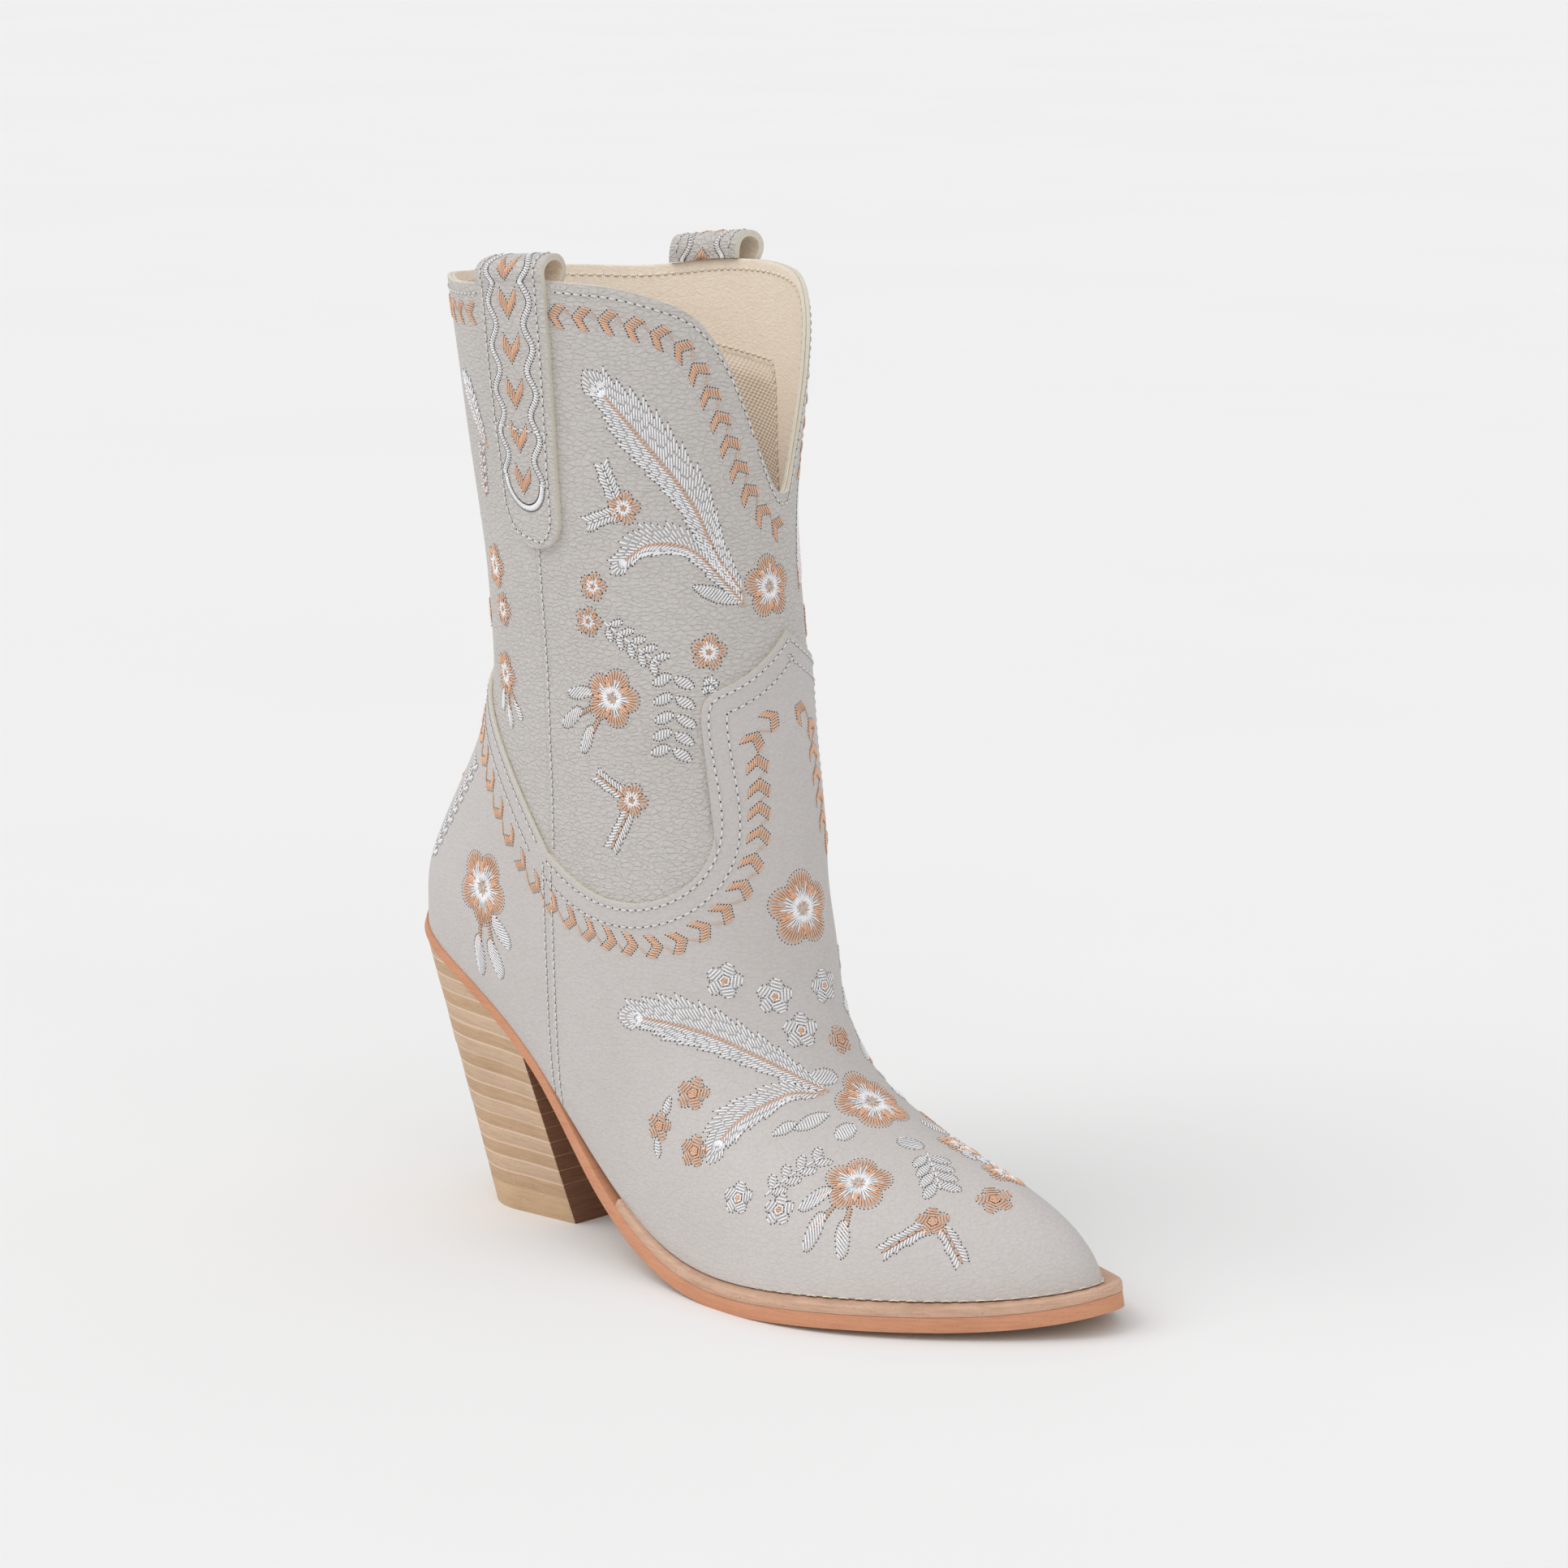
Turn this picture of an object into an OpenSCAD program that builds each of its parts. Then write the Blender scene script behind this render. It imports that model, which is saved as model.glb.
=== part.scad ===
// Pointed western boot with a stacked block heel, in millimetres.
// The toe points along +X, the outer side faces -Y, and the ground is z = 0.
// The upper is described by one smooth surface: [angle, level] picks a point on it.
// Angle 0 is the back of the heel, 90 the outer side, 180 the toe, 270 the inner side.
// Level 0 is the feather line, where upper and sole meet; level 10 is the topline.

/* [Upper] */
// Thickness of the outside leather
leather_t = 1.4; // [1.0:0.1:1.6]
// Thickness of the linings
lining_t = 1.0; // [0.8:0.1:1.2]
// Depth of the leather facing below the topline at the sides, in levels
facing_depth = 0.45; // [0.4:0.05:0.6]
// How far the front of the topline dips, in levels
dip_depth = 0.89; // [0.6:0.01:1.0]
// Rise of the topline beside the leg, in levels
side_rise = 0.09; // [0:0.01:0.12]
// Drop of the topline behind the straps, in levels
rear_drop = 0.04; // [0:0.01:0.1]
// Further drop of the topline at the very back, in levels
back_drop = 0.045; // [0:0.005:0.1]
// Place of the outer side seam along the boot
seam_x = 35.5; // [33:0.5:38]
// How much further back the inner side seam and strap sit
inner_seam_back = 9; // [0:1:10]

/* [Pull straps] */
// Width of a pull strap
strap_w = 25.5; // [24:0.5:30]
// How much further back a strap is at the topline than at its tab
strap_lean = 6; // [0:1:8]
// How far the inner strap stands off the leather at the topline
inner_strap_lift = 5; // [0:0.5:6]
// Thickness of a strap's leather
strap_t = 1.2; // [1.0:0.1:1.4]
// Thickness of a strap's backing
strap_backing_t = 0.8; // [0.6:0.1:1.0]
// Level at which a strap's round tab ends
strap_end_level = 8.62; // [8.5:0.02:8.8]

/* [Sole] */
// Thickness of the outsole under the ball of the foot
outsole_t = 4.5; // [4.0:0.1:4.6]
// Thickness of the outsole at the heel seat
seat_t = 3; // [2.6:0.1:3.2]
// Thickness of the welt
welt_t = 3; // [2.6:0.1:3.0]
// How far the welt stands out around the toe
welt_out = 6.5; // [5:0.5:7]
// How far the sole stands out at the heel
seat_out = 2; // [1.5:0.1:2.5]
// Thickness of the insole board
insole_t = 2; // [1.6:0.1:2.2]
// Thickness of the sock liner
sock_t = 1.2; // [0.8:0.1:1.4]

/* [Heel] */
// Thickness of the top lift, the piece that touches the ground
top_lift_t = 8; // [6:0.5:9]
// Length of the top lift
top_lift_l = 46; // [44:1:48]
// Width of the top lift
top_lift_w = 42; // [40:1:44]
// Radius of a heel nail
nail_r = 1.2; // [1.0:0.1:1.5]

/* [Hidden] */
lift_count = 17;
lift_names = [for (k = [1:lift_count]) str("heel_lift_", k < 10 ? "0" : "", k)];

leather_color = [0.79, 0.77, 0.75];
cream_color = [0.87, 0.82, 0.74];
twill_color = [0.82, 0.76, 0.68];
board_color = [0.62, 0.48, 0.34];
sole_color = [0.80, 0.56, 0.38];
welt_color = [0.80, 0.66, 0.56];
lift_color = [0.78, 0.66, 0.54];
lift_line_color = [0.72, 0.58, 0.46];
steel_color = [0.60, 0.61, 0.63];

// The surface, one row a level: back x and z, front x and z,
// how much of the sole's bow and sideways swing it takes,
// then the half width every 30 degrees from the back to the toe.
levels = [
    [-47,  90, 212,  16, 1.0, 1.0, 55, 44, 33, 38, 54, 42, 30],
    [-46,  98, 209,  23, 1.0, 1.0, 57, 46, 36, 37, 50, 40, 32],
    [-46, 107, 198,  33, 0.9, 0.9, 55, 47, 37, 36, 46, 37, 31],
    [-42, 116, 172,  42, 0.8, 0.7, 53, 46, 38, 35, 41, 35, 31],
    [-36, 127, 139,  47, 0.5, 0.5, 49, 44, 38, 35, 39, 35, 31],
    [-28, 140, 115,  62, 0.3, 0.3, 45, 42, 38, 36, 38, 36, 34],
    [-19, 156, 106,  90, 0.1, 0.2, 41, 40, 38, 38, 39, 38, 37],
    concat([-15, 176, 102, 124, 0, 0.1], [for (i = [0:6]) 38.5]),
    concat([-15, 206,  96, 166, 0, 0], [for (i = [0:6]) 41]),
    concat([-22, 246,  87, 226, 0, 0], [for (i = [0:6]) 44]),
    concat([-29, 297,  79, 289, 0, 0], [for (i = [0:6]) 46.5]),
    concat([-36, 348,  71, 352, 0, 0], [for (i = [0:6]) 49])
];
top_level = 10;
// Sole bow and sideways swing every 30 degrees, from the back to the toe
sole_bow = [0, -1, -8, -50, -24, -10, 0];
side_swing = [0, -4, 2, -3, -4, 6, 12];
// Angles of the tongue's centre and of the lowest point of the topline
tongue_angle = 189;
dip_angle = 198;
// The topline's inner front corner stands out by this much, around this angle
flare = [9, 4];
flare_angle = 218;
flare_reach = 60;
flare_start_level = 8.8;
// Depth of the facing around the dip, below the level of the topline's sides
facing_drop = 1.5;

// ---- curves -------------------------------------------------------------

function mix(a, b, f) = a + (b - a) * f;

function smooth(a, b, x) =
    let (f = max(0, min(1, (x - a) / (b - a))))
    f * f * (3 - 2 * f);

// Weights of the four nearest control values of a cubic B-spline
function spline_weights(f) = [
    pow(1 - f, 3) / 6,
    (3 * pow(f, 3) - 6 * f * f + 4) / 6,
    (-3 * pow(f, 3) + 3 * f * f + 3 * f + 1) / 6,
    pow(f, 3) / 6
];

// Control value i, continued in a straight line past both ends
function open_end(list, i) =
    let (last = len(list) - 1)
    i < 0 ? 2 * list[0] - list[1]
    : i > last ? 2 * list[last] - list[last - 1]
    : list[i];

// Control value i, mirrored past both ends
function mirror_end(list, i) =
    let (last = len(list) - 1, k = abs(i))
    list[k > last ? 2 * last - k : k];

function spline(list, at) =
    let (
        last = len(list) - 1,
        p = max(0, min(last, at)),
        i = min(floor(p), last - 1),
        w = spline_weights(p - i)
    )
    w[0] * open_end(list, i - 1) + w[1] * open_end(list, i)
    + w[2] * open_end(list, i + 1) + w[3] * open_end(list, i + 2);

function mirror_spline(list, at) =
    let (
        last = len(list) - 1,
        i = min(floor(at), last - 1),
        w = spline_weights(at - i)
    )
    w[0] * mirror_end(list, i - 1) + w[1] * mirror_end(list, i)
    + w[2] * mirror_end(list, i + 1) + w[3] * mirror_end(list, i + 2);

// ---- the surface of the upper ------------------------------------------

// Angle measured from the back, the same on both sides
function fold(angle) =
    let (a = ((angle % 360) + 360) % 360)
    a > 180 ? 360 - a : a;

// Bump of height 1 around the corner that flares
function flare_bump(angle) =
    let (off = ((angle - flare_angle) % 360 + 540) % 360 - 180)
    abs(off) > flare_reach ? 0 : pow(cos(off * 90 / flare_reach), 2);

function boot_point(angle, level) =
    let (
        row = spline(levels, level),
        at = fold(angle) / 30,
        half_width = mirror_spline([for (i = [6:12]) row[i]], at),
        s = (1 - cos(angle)) / 2,
        out = flare_bump(angle) * smooth(flare_start_level, top_level, level)
    )
    [
        mix(row[0], row[2], s) + flare[0] * out,
        -sin(angle) * half_width + row[5] * mirror_spline(side_swing, at) + flare[1] * out,
        mix(row[1], row[3], s) + row[4] * mirror_spline(sole_bow, at)
    ];

function unit(v) = v / norm(v);

// Outward direction of the surface
function outward(angle, level) =
    let (
        along = boot_point(angle + 0.8, level) - boot_point(angle - 0.8, level),
        up = boot_point(angle, level + 0.02) - boot_point(angle, max(level - 0.02, 0))
    )
    unit(cross(along, up));

// Point at an outward distance from the surface
function skin(place, distance) =
    boot_point(place[0], place[1]) + distance * outward(place[0], place[1]);

// Angle at which a level reaches a given x on the outer side
function angle_at(x, level) =
    let (row = spline(levels, level))
    acos(max(-1, min(1, 1 - 2 * (x - row[0]) / (row[2] - row[0]))));

// Angle between the back of the boot and a side seam; side is 1 outside, -1 inside
function seam_angle(level, side) =
    angle_at(seam_x - (side < 0 ? inner_seam_back : 0), level);

// Angle of a place in the front half: 0 is the outer seam, 0.5 the tongue, 1 the inner seam
function front_angle(across, level) =
    across < 0.5 ? mix(seam_angle(level, 1), tongue_angle, 2 * across)
    : mix(tongue_angle, 360 - seam_angle(level, -1), 2 * across - 1);

// Angle of a place in the back half: 0 is the inner seam, 0.5 the back, 1 the outer seam
function back_angle(across, level) =
    (2 * across - 1) * seam_angle(level, across < 0.5 ? -1 : 1);

// ---- edges of the panels -----------------------------------------------

// Angle measured from the dip, positive towards the inner side
function off_dip(angle) = ((angle - dip_angle) % 360 + 540) % 360 - 180;

// Level of the topline: high at the sides, lower at the back, deepest in front
function topline(angle) =
    let (
        off = off_dip(angle),
        beside = smooth(50, 115, fold(angle)) * (1 - smooth(125, 175, fold(angle))),
        outer = (angle % 360 + 360) % 360 < 180,
        back = 1 - smooth(10, outer ? 45 : 100, fold(angle)),
        dip = off < 0 ? pow(-off / 24, 2.6) : pow(off / 16, 1.7)
    )
    top_level - rear_drop - back_drop * back + (rear_drop + side_rise) * beside
    - dip_depth * exp(-dip);

// Level of the facing's lower edge, which is lowest around the dip
function facing_low(angle) =
    top_level - mix(facing_drop, facing_depth, smooth(34, 48, abs(off_dip(angle))));

// The vamp's top edge from the side seam to the tongue's peak, as [place, level]
vamp_edge = [
    [0.00, 5.95], [0.11, 5.95], [0.25, 6.05], [0.40, 6.35], [0.53, 6.75], [0.60, 7.15],
    [0.58, 7.60], [0.56, 8.05], [0.67, 8.13], [0.83, 8.27], [1.00, 8.42]
];

// Point of the vamp's top edge, with across from 0 to 1 as in front_angle
function vamp_top(across) =
    let (
        side = 1 - abs(2 * across - 1),
        point = spline(vamp_edge, side * (len(vamp_edge) - 1))
    )
    [across < 0.5 ? point[0] / 2 : 1 - point[0] / 2, point[1]];

function counter_top(across) = 5.95 + 0.9 * (1 - pow(2 * across - 1, 2));

// Lower end of the front shaft panel, out of sight under the vamp
function shaft_end(across) = 5.6 + 2.2 * smooth(0.35, 0.95, 1 - abs(2 * across - 1));

// Top edge of the toe puff
function puff_top(across) = 0.35 + 2.9 * smooth(0.2, 0.36, across) * (1 - smooth(0.64, 0.8, across));

// Line where the foot lining meets the textile lining
lining_join = 5.5;

// ---- building solids from grids ----------------------------------------

// Closed solid between two grids of points, nu by nv steps.
// Seen from the front grid's side, u runs to the right and v upwards.
module slab(front, back, nu, nv, loop = false) {
    columns = loop ? nu : nu + 1;
    count = columns * (nv + 1);
    function at(i, j) = j * columns + (loop ? i % nu : i);
    front_faces = [for (j = [0:nv - 1]) for (i = [0:nu - 1]) each [
        [at(i, j), at(i, j + 1), at(i + 1, j + 1)],
        [at(i, j), at(i + 1, j + 1), at(i + 1, j)]
    ]];
    back_faces = [for (f = front_faces) [f[2] + count, f[1] + count, f[0] + count]];
    ends = [for (i = [0:nu - 1]) each [
        [at(i, 0), at(i + 1, 0), at(i + 1, 0) + count],
        [at(i, 0), at(i + 1, 0) + count, at(i, 0) + count],
        [at(i + 1, nv), at(i, nv), at(i, nv) + count],
        [at(i + 1, nv), at(i, nv) + count, at(i + 1, nv) + count]
    ]];
    sides = loop ? [] : [for (j = [0:nv - 1]) each [
        [at(0, j + 1), at(0, j), at(0, j) + count],
        [at(0, j + 1), at(0, j) + count, at(0, j + 1) + count],
        [at(nu, j), at(nu, j + 1), at(nu, j + 1) + count],
        [at(nu, j), at(nu, j + 1) + count, at(nu, j) + count]
    ]];
    polyhedron(concat(front, back), concat(front_faces, back_faces, ends, sides), convexity = 12);
}

// Piece of leather that follows the surface; place(u, v) gives [angle, level]
module panel(place, inside, outside, nu, nv, loop = false) {
    last = loop ? nu - 1 : nu;
    places = [for (j = [0:nv]) for (i = [0:last]) place(i / nu, j / nv)];
    slab([for (p = places) skin(p, outside)], [for (p = places) skin(p, inside)], nu, nv, loop);
}

// ---- upper --------------------------------------------------------------

module vamp() {
    place = function (u, v)
        let (top = vamp_top(u), level = v * top[1])
        [front_angle(mix(u, top[0], v), level), level];
    color(leather_color) panel(place, 0, leather_t, 44, 24);
}

module heel_counter() {
    place = function (u, v)
        let (level = v * counter_top(u))
        [back_angle(u, level), level];
    color(leather_color) panel(place, 0, leather_t, 20, 10);
}

module shaft_front() {
    place = function (u, v)
        let (top = topline(front_angle(u, top_level)), level = mix(shaft_end(u), top, v))
        [front_angle(u, level), level];
    color(leather_color) panel(place, -leather_t, 0, 48, 12);
}

module shaft_back() {
    place = function (u, v)
        let (top = topline(back_angle(u, top_level)), level = mix(counter_top(u) - 0.35, top, v))
        [back_angle(u, level), level];
    color(leather_color) panel(place, -leather_t, 0, 18, 10);
}

// ---- layers under the leather ------------------------------------------

module toe_puff() {
    place = function (u, v)
        let (across = mix(0.2, 0.8, u), level = mix(0.2, puff_top(across), v))
        [front_angle(across, level), level];
    color(board_color) panel(place, -leather_t, 0, 20, 5);
}

module vamp_interlining() {
    place = function (u, v)
        let (low = u < 0.2 || u > 0.8 ? 0.2 : puff_top(u), level = mix(low + 0.02, shaft_end(u) - 0.02, v))
        [front_angle(u, level), level];
    color(cream_color) panel(place, -leather_t, 0, 24, 14);
}

module heel_stiffener() {
    place = function (u, v)
        let (level = mix(0.2, counter_top(u) - 0.37, v))
        [back_angle(u, level), level];
    color(board_color) panel(place, -leather_t, 0, 18, 7);
}

// ---- linings ------------------------------------------------------------

module lining(low, high, nu, nv) {
    place = function (u, v) [360 * u, mix(low(360 * u), high(360 * u), v)];
    panel(place, -leather_t - lining_t, -leather_t, nu, nv, loop = true);
}

module leather_facing() {
    color(cream_color)
        lining(function (a) facing_low(a), function (a) topline(a), 72, 4);
}

module textile_lining() {
    color(twill_color)
        lining(function (a) lining_join, function (a) facing_low(a), 72, 5);
}

module foot_lining() {
    color(cream_color)
        lining(function (a) 0.25, function (a) lining_join, 36, 14);
}

// ---- pull straps ---------------------------------------------------------

// Inside face of the outer strap above the topline, as [outward, up]: it leans inwards
outer_loop = [
    [0, 0], [0.8, 2], [0.4, 4.2], [-3.4, 6.1], [-8.6, 5.6], [-11.2, 2.4], [-8.6, -1.6], [-3, -3]
];
// Inside face of the inner strap: it stands off the leather and leans outwards
inner_loop = [
    [5, 0], [6.8, 2.6], [6.2, 5.4], [3, 7], [-0.4, 6.4], [-1.6, 4], [-1.8, 2], [-1.9, 0.3]
];
loop_steps = 10;
wall_steps = 12;

function strap_half_width(step) =
    let (from_end = step / wall_steps * 75, round_end = 12)
    from_end >= round_end ? mix(strap_w / 2 - 0.6, strap_w / 2, smooth(round_end, 60, from_end))
    : (strap_w / 2 - 0.6) * sqrt(1 - pow(1 - max(from_end, 0.6) / round_end, 2));

// Place of a strap's centre line along the boot; run is 0 at the tab's end, 1 at the topline
function strap_x(side, run) = seam_x - (side < 0 ? inner_seam_back : 0) - strap_lean * run;

// How far a strap stands off the leather
function strap_lift(side, step) =
    side < 0 ? inner_strap_lift * smooth(0.6 * wall_steps, wall_steps, step) : 0;

// Level at which a strap leaves the shaft
function strap_top(side, across) =
    topline(side * angle_at(strap_x(side, 1) + across * strap_w / 2, top_level));

// Point of a strap: across runs from -1 to 1, step along it, and height is off its inside face
function strap_point(side, across, step, height) =
    step <= wall_steps
    ? let (
        level = mix(strap_end_level, strap_top(side, across), step / wall_steps),
        centre = strap_x(side, step / wall_steps),
        angle = angle_at(centre + across * strap_half_width(step), level)
    ) skin([side * angle, level], height + strap_lift(side, step))
    : let (
        loop = side < 0 ? inner_loop : outer_loop,
        along = (step - wall_steps) / loop_steps * (len(loop) - 1),
        top = strap_top(side, across),
        angle = side * angle_at(strap_x(side, 1) + across * strap_w / 2, top),
        ahead = spline(loop, along + 0.05) - spline(loop, along - 0.05),
        off = spline(loop, along) + height * unit([ahead[1], -ahead[0]]),
        side_way = outward(angle, top),
        plan = unit([side_way[0], side_way[1], 0])
    ) boot_point(angle, top) + plan * off[0] + [0, 0, off[1]];

module strap_layer(side, low, high) {
    nu = 4;
    steps = wall_steps + loop_steps;
    function row(height) = [for (j = [0:steps]) for (i = [0:nu])
        strap_point(side, side * (2 * i / nu - 1), j, height)];
    slab(row(high), row(low), nu, steps);
}

module pull_strap_outer() {
    color(leather_color) strap_layer(1, strap_backing_t, strap_backing_t + strap_t);
}

module pull_strap_inner() {
    color(leather_color) strap_layer(-1, strap_backing_t, strap_backing_t + strap_t);
}

module strap_backing_outer() {
    color(cream_color) strap_layer(1, 0, strap_backing_t);
}

module strap_backing_inner() {
    color(cream_color) strap_layer(-1, 0, strap_backing_t);
}

// ---- sole ------------------------------------------------------------------

// Point beside the feather line: out is the distance outwards, up the height over the sole's line
function sole_point(angle, out, up) =
    let (
        here = boot_point(angle, 0),
        along = boot_point(angle + 3, 0) - boot_point(angle - 3, 0),
        plan = unit([along[1], -along[0]]),
        folded = fold(angle),
        ahead = boot_point(min(folded + 6, 180), 0) - boot_point(max(folded - 6, 0), 0),
        slope = unit([ahead[0], ahead[2]]),
        rise = slope[1] / slope[0] * plan[0] * out
    )
    [
        here[0] + plan[0] * out - slope[1] * up,
        here[1] + plan[1] * out,
        max(here[2] + rise + slope[0] * up, 0)
    ];

// Sole layer that spans the boot's width between two angles
module sole_plate(first, last, rows, out, low, high) {
    function row(height) = [for (j = [0:rows])
        let (angle = max(0.6, min(179.4, mix(first, last, j / rows))))
        each [
            sole_point(-angle, out(angle), height(angle)),
            sole_point(angle, out(angle), height(angle))
        ]];
    slab(row(high), row(low), 1, rows);
}

function sole_out(angle) = mix(seat_out, welt_out, smooth(70, 125, fold(angle)));
function sole_top(angle) = -welt_t * smooth(62, 82, fold(angle));
function sole_bottom(angle) = sole_top(angle) - mix(seat_t, outsole_t, smooth(60, 90, fold(angle)));
welt_start = 84;
margin_t = 1.6;

module outsole() {
    color(sole_color) difference() {
        sole_plate(0, 180, 36, function (a) sole_out(a),
            function (a) sole_bottom(a), function (a) sole_top(a));
        heel_fixings();
    }
}

module welt() {
    rows = 44;
    function row(height) = [for (j = [0:rows])
        let (angle = mix(welt_start, 360 - welt_start, j / rows))
        each [sole_point(angle, -4.5, height), sole_point(angle, sole_out(angle) + 0.2, height)]];
    color(welt_color) slab(row(0), row(-welt_t), 1, rows);
}

module cork_filler() {
    color(board_color) sole_plate(104, 178, 16, function (a) -5,
        function (a) -welt_t, function (a) margin_t);
}

module insole_board() {
    color(board_color) difference() {
        sole_plate(0, 180, 30, function (a) -3.6,
            function (a) margin_t, function (a) margin_t + insole_t);
        heel_fixings();
    }
}

module sock_liner() {
    color(cream_color) sole_plate(0, 180, 30, function (a) -3.8,
        function (a) margin_t + insole_t, function (a) margin_t + insole_t + sock_t);
}

module steel_shank() {
    half = 6;
    rows = 12;
    function row(up) = [for (j = [0:rows])
        let (p = sole_point(mix(44, 100, j / rows), 0, up))
        each [[p[0], half, p[2]], [p[0], -half, p[2]]]];
    color(steel_color) slab(row(margin_t), row(0.2), 1, rows);
}

// ---- heel ------------------------------------------------------------------

seat_angle = 60;
heel_rows = 12;
lift_rise = (86 - top_lift_t) / lift_count;
lift_front = 26;
lift_back = lift_front - top_lift_l;
lift_round = 20;

// Ground outline of the heel on the outer side, from the back (0) to the front corner (1)
function heel_foot(f) =
    let (
        half = top_lift_w / 2,
        bend = 0.7,
        turn = min(f / bend, 1) * 90,
        run = max(0, (f - bend) / (1 - bend))
    )
    [
        lift_back + lift_round * (1 - cos(turn)) + (top_lift_l - lift_round) * run,
        half * sin(turn) - 1.5 * run
    ];

module heel_block() {
    function row(low) = [for (j = [0:heel_rows])
        let (f = max(0.01, j / heel_rows), foot = heel_foot(f))
        each [for (side = [-1, 1])
            low ? [foot[0], -side * foot[1], 0]
            : sole_point(side * f * seat_angle, sole_out(0) - 0.4, sole_bottom(0))]];
    slab(row(false), row(true), 1, heel_rows);
}

// Nails and the screw that hold the heel, driven from inside the boot
nail_places = [[-30, 0], [-20, 14], [-20, -14], [4, 15], [4, -15]];
screw_place = [-10, 0];
screw_r = 2.5;
screw_low = 20;
nail_low = 30;

// Height of the insole's top along the middle of the seat
function insole_height(x) =
    let (a = sole_point(20, 0, margin_t + insole_t), b = sole_point(55, 0, margin_t + insole_t))
    mix(a[2], b[2], (x - a[0]) / (b[0] - a[0]));

module fixing(place, r, low) {
    top = insole_height(place[0]);
    translate([place[0], place[1], low]) cylinder(h = top - low, r = r, $fn = 24);
}

module heel_nails() {
    color(steel_color) heel_nail_set();
}

module heel_nail_set() {
    for (p = nail_places) fixing(p, nail_r, nail_low);
}

module heel_screw() {
    color(steel_color) fixing(screw_place, screw_r, screw_low);
}

module heel_fixings() {
    heel_nail_set();
    fixing(screw_place, screw_r, screw_low);
}

// One layer of the stack, cut from the tapered block between two heights
module heel_lift(k) {
    low = top_lift_t + k * lift_rise;
    color(k % 2 == 0 ? lift_color : lift_line_color) difference() {
        intersection() {
            heel_block();
            translate([-80, -60, low]) cube([160, 120, lift_rise + (k == lift_count - 1 ? 20 : 0)]);
        }
        if (low + lift_rise > screw_low) heel_fixings();
    }
}

module top_lift() {
    color(lift_color) intersection() {
        heel_block();
        translate([-80, -60, 0]) cube([160, 120, top_lift_t]);
    }
}

vamp();
heel_counter();
shaft_front();
shaft_back();
pull_strap_outer();
pull_strap_inner();
strap_backing_outer();
strap_backing_inner();
leather_facing();
textile_lining();
foot_lining();
toe_puff();
heel_stiffener();
vamp_interlining();
sock_liner();
insole_board();
steel_shank();
cork_filler();
welt();
outsole();
for (k = [0:lift_count - 1]) {
    heel_lift(k);
}
top_lift();
heel_nails();
heel_screw();
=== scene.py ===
import math

import bmesh
import bpy
import numpy as np
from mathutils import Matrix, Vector


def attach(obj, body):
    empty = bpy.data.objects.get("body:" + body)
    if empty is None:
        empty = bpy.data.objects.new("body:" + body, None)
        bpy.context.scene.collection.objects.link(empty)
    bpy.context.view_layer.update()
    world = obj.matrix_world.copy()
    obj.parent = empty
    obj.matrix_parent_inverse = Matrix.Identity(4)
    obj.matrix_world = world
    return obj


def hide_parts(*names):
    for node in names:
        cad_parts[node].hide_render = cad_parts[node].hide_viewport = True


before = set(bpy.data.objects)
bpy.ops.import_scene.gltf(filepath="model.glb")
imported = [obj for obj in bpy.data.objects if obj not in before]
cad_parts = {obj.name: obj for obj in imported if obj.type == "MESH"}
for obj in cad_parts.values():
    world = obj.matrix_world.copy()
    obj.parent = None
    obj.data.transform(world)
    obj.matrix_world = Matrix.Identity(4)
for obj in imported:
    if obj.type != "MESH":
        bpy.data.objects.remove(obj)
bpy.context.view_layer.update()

MM = 0.001
DETAIL = 1.0

# The boot's surface, the same as in the CAD source, in millimetres.
# A place is (angle, level): angle 0 is the back of the heel, 90 the outer side,
# 180 the toe, 270 the inner side; level 0 is the feather line, level 10 the topline.

LEVELS = np.array([
    [-47,  90, 212,  16, 1.0, 1.0, 55, 44, 33, 38, 54, 42, 30],
    [-46,  98, 209,  23, 1.0, 1.0, 57, 46, 36, 37, 50, 40, 32],
    [-46, 107, 198,  33, 0.9, 0.9, 55, 47, 37, 36, 46, 37, 31],
    [-42, 116, 172,  42, 0.8, 0.7, 53, 46, 38, 35, 41, 35, 31],
    [-36, 127, 139,  47, 0.5, 0.5, 49, 44, 38, 35, 39, 35, 31],
    [-28, 140, 115,  62, 0.3, 0.3, 45, 42, 38, 36, 38, 36, 34],
    [-19, 156, 106,  90, 0.1, 0.2, 41, 40, 38, 38, 39, 38, 37],
    [-15, 176, 102, 124, 0.0, 0.1] + [38.5] * 7,
    [-15, 206,  96, 166, 0.0, 0.0] + [41.0] * 7,
    [-22, 246,  87, 226, 0.0, 0.0] + [44.0] * 7,
    [-29, 297,  79, 289, 0.0, 0.0] + [46.5] * 7,
    [-36, 348,  71, 352, 0.0, 0.0] + [49.0] * 7,
])
TOP_LEVEL = 10
SOLE_BOW = np.array([0, -1, -8, -50, -24, -10, 0.0])
SIDE_SWING = np.array([0, -4, 2, -3, -4, 6, 12.0])
TONGUE_ANGLE = 189
DIP_ANGLE = 198
FLARE = np.array([9, 4, 0.0])
FLARE_ANGLE = 218
FLARE_REACH = 60
FLARE_START = 8.8

LEATHER_T = 1.4
LINING_T = 1.0
FACING_DEPTH = 0.45
FACING_DROP = 1.5
DIP_DEPTH = 0.89
# Reach in degrees and steepness of the dip on its outer and inner side
OUTER_DIP = (24, 2.6)
INNER_DIP = (16, 1.7)
SIDE_RISE = 0.09
REAR_DROP = 0.04
BACK_DROP = 0.045
SEAM_X = {1: 35.5, -1: 26.5}
LINING_JOIN = 5.5
FOOT_LINING_START = 0.25
BACK_UNDERLAP = 0.35

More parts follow.
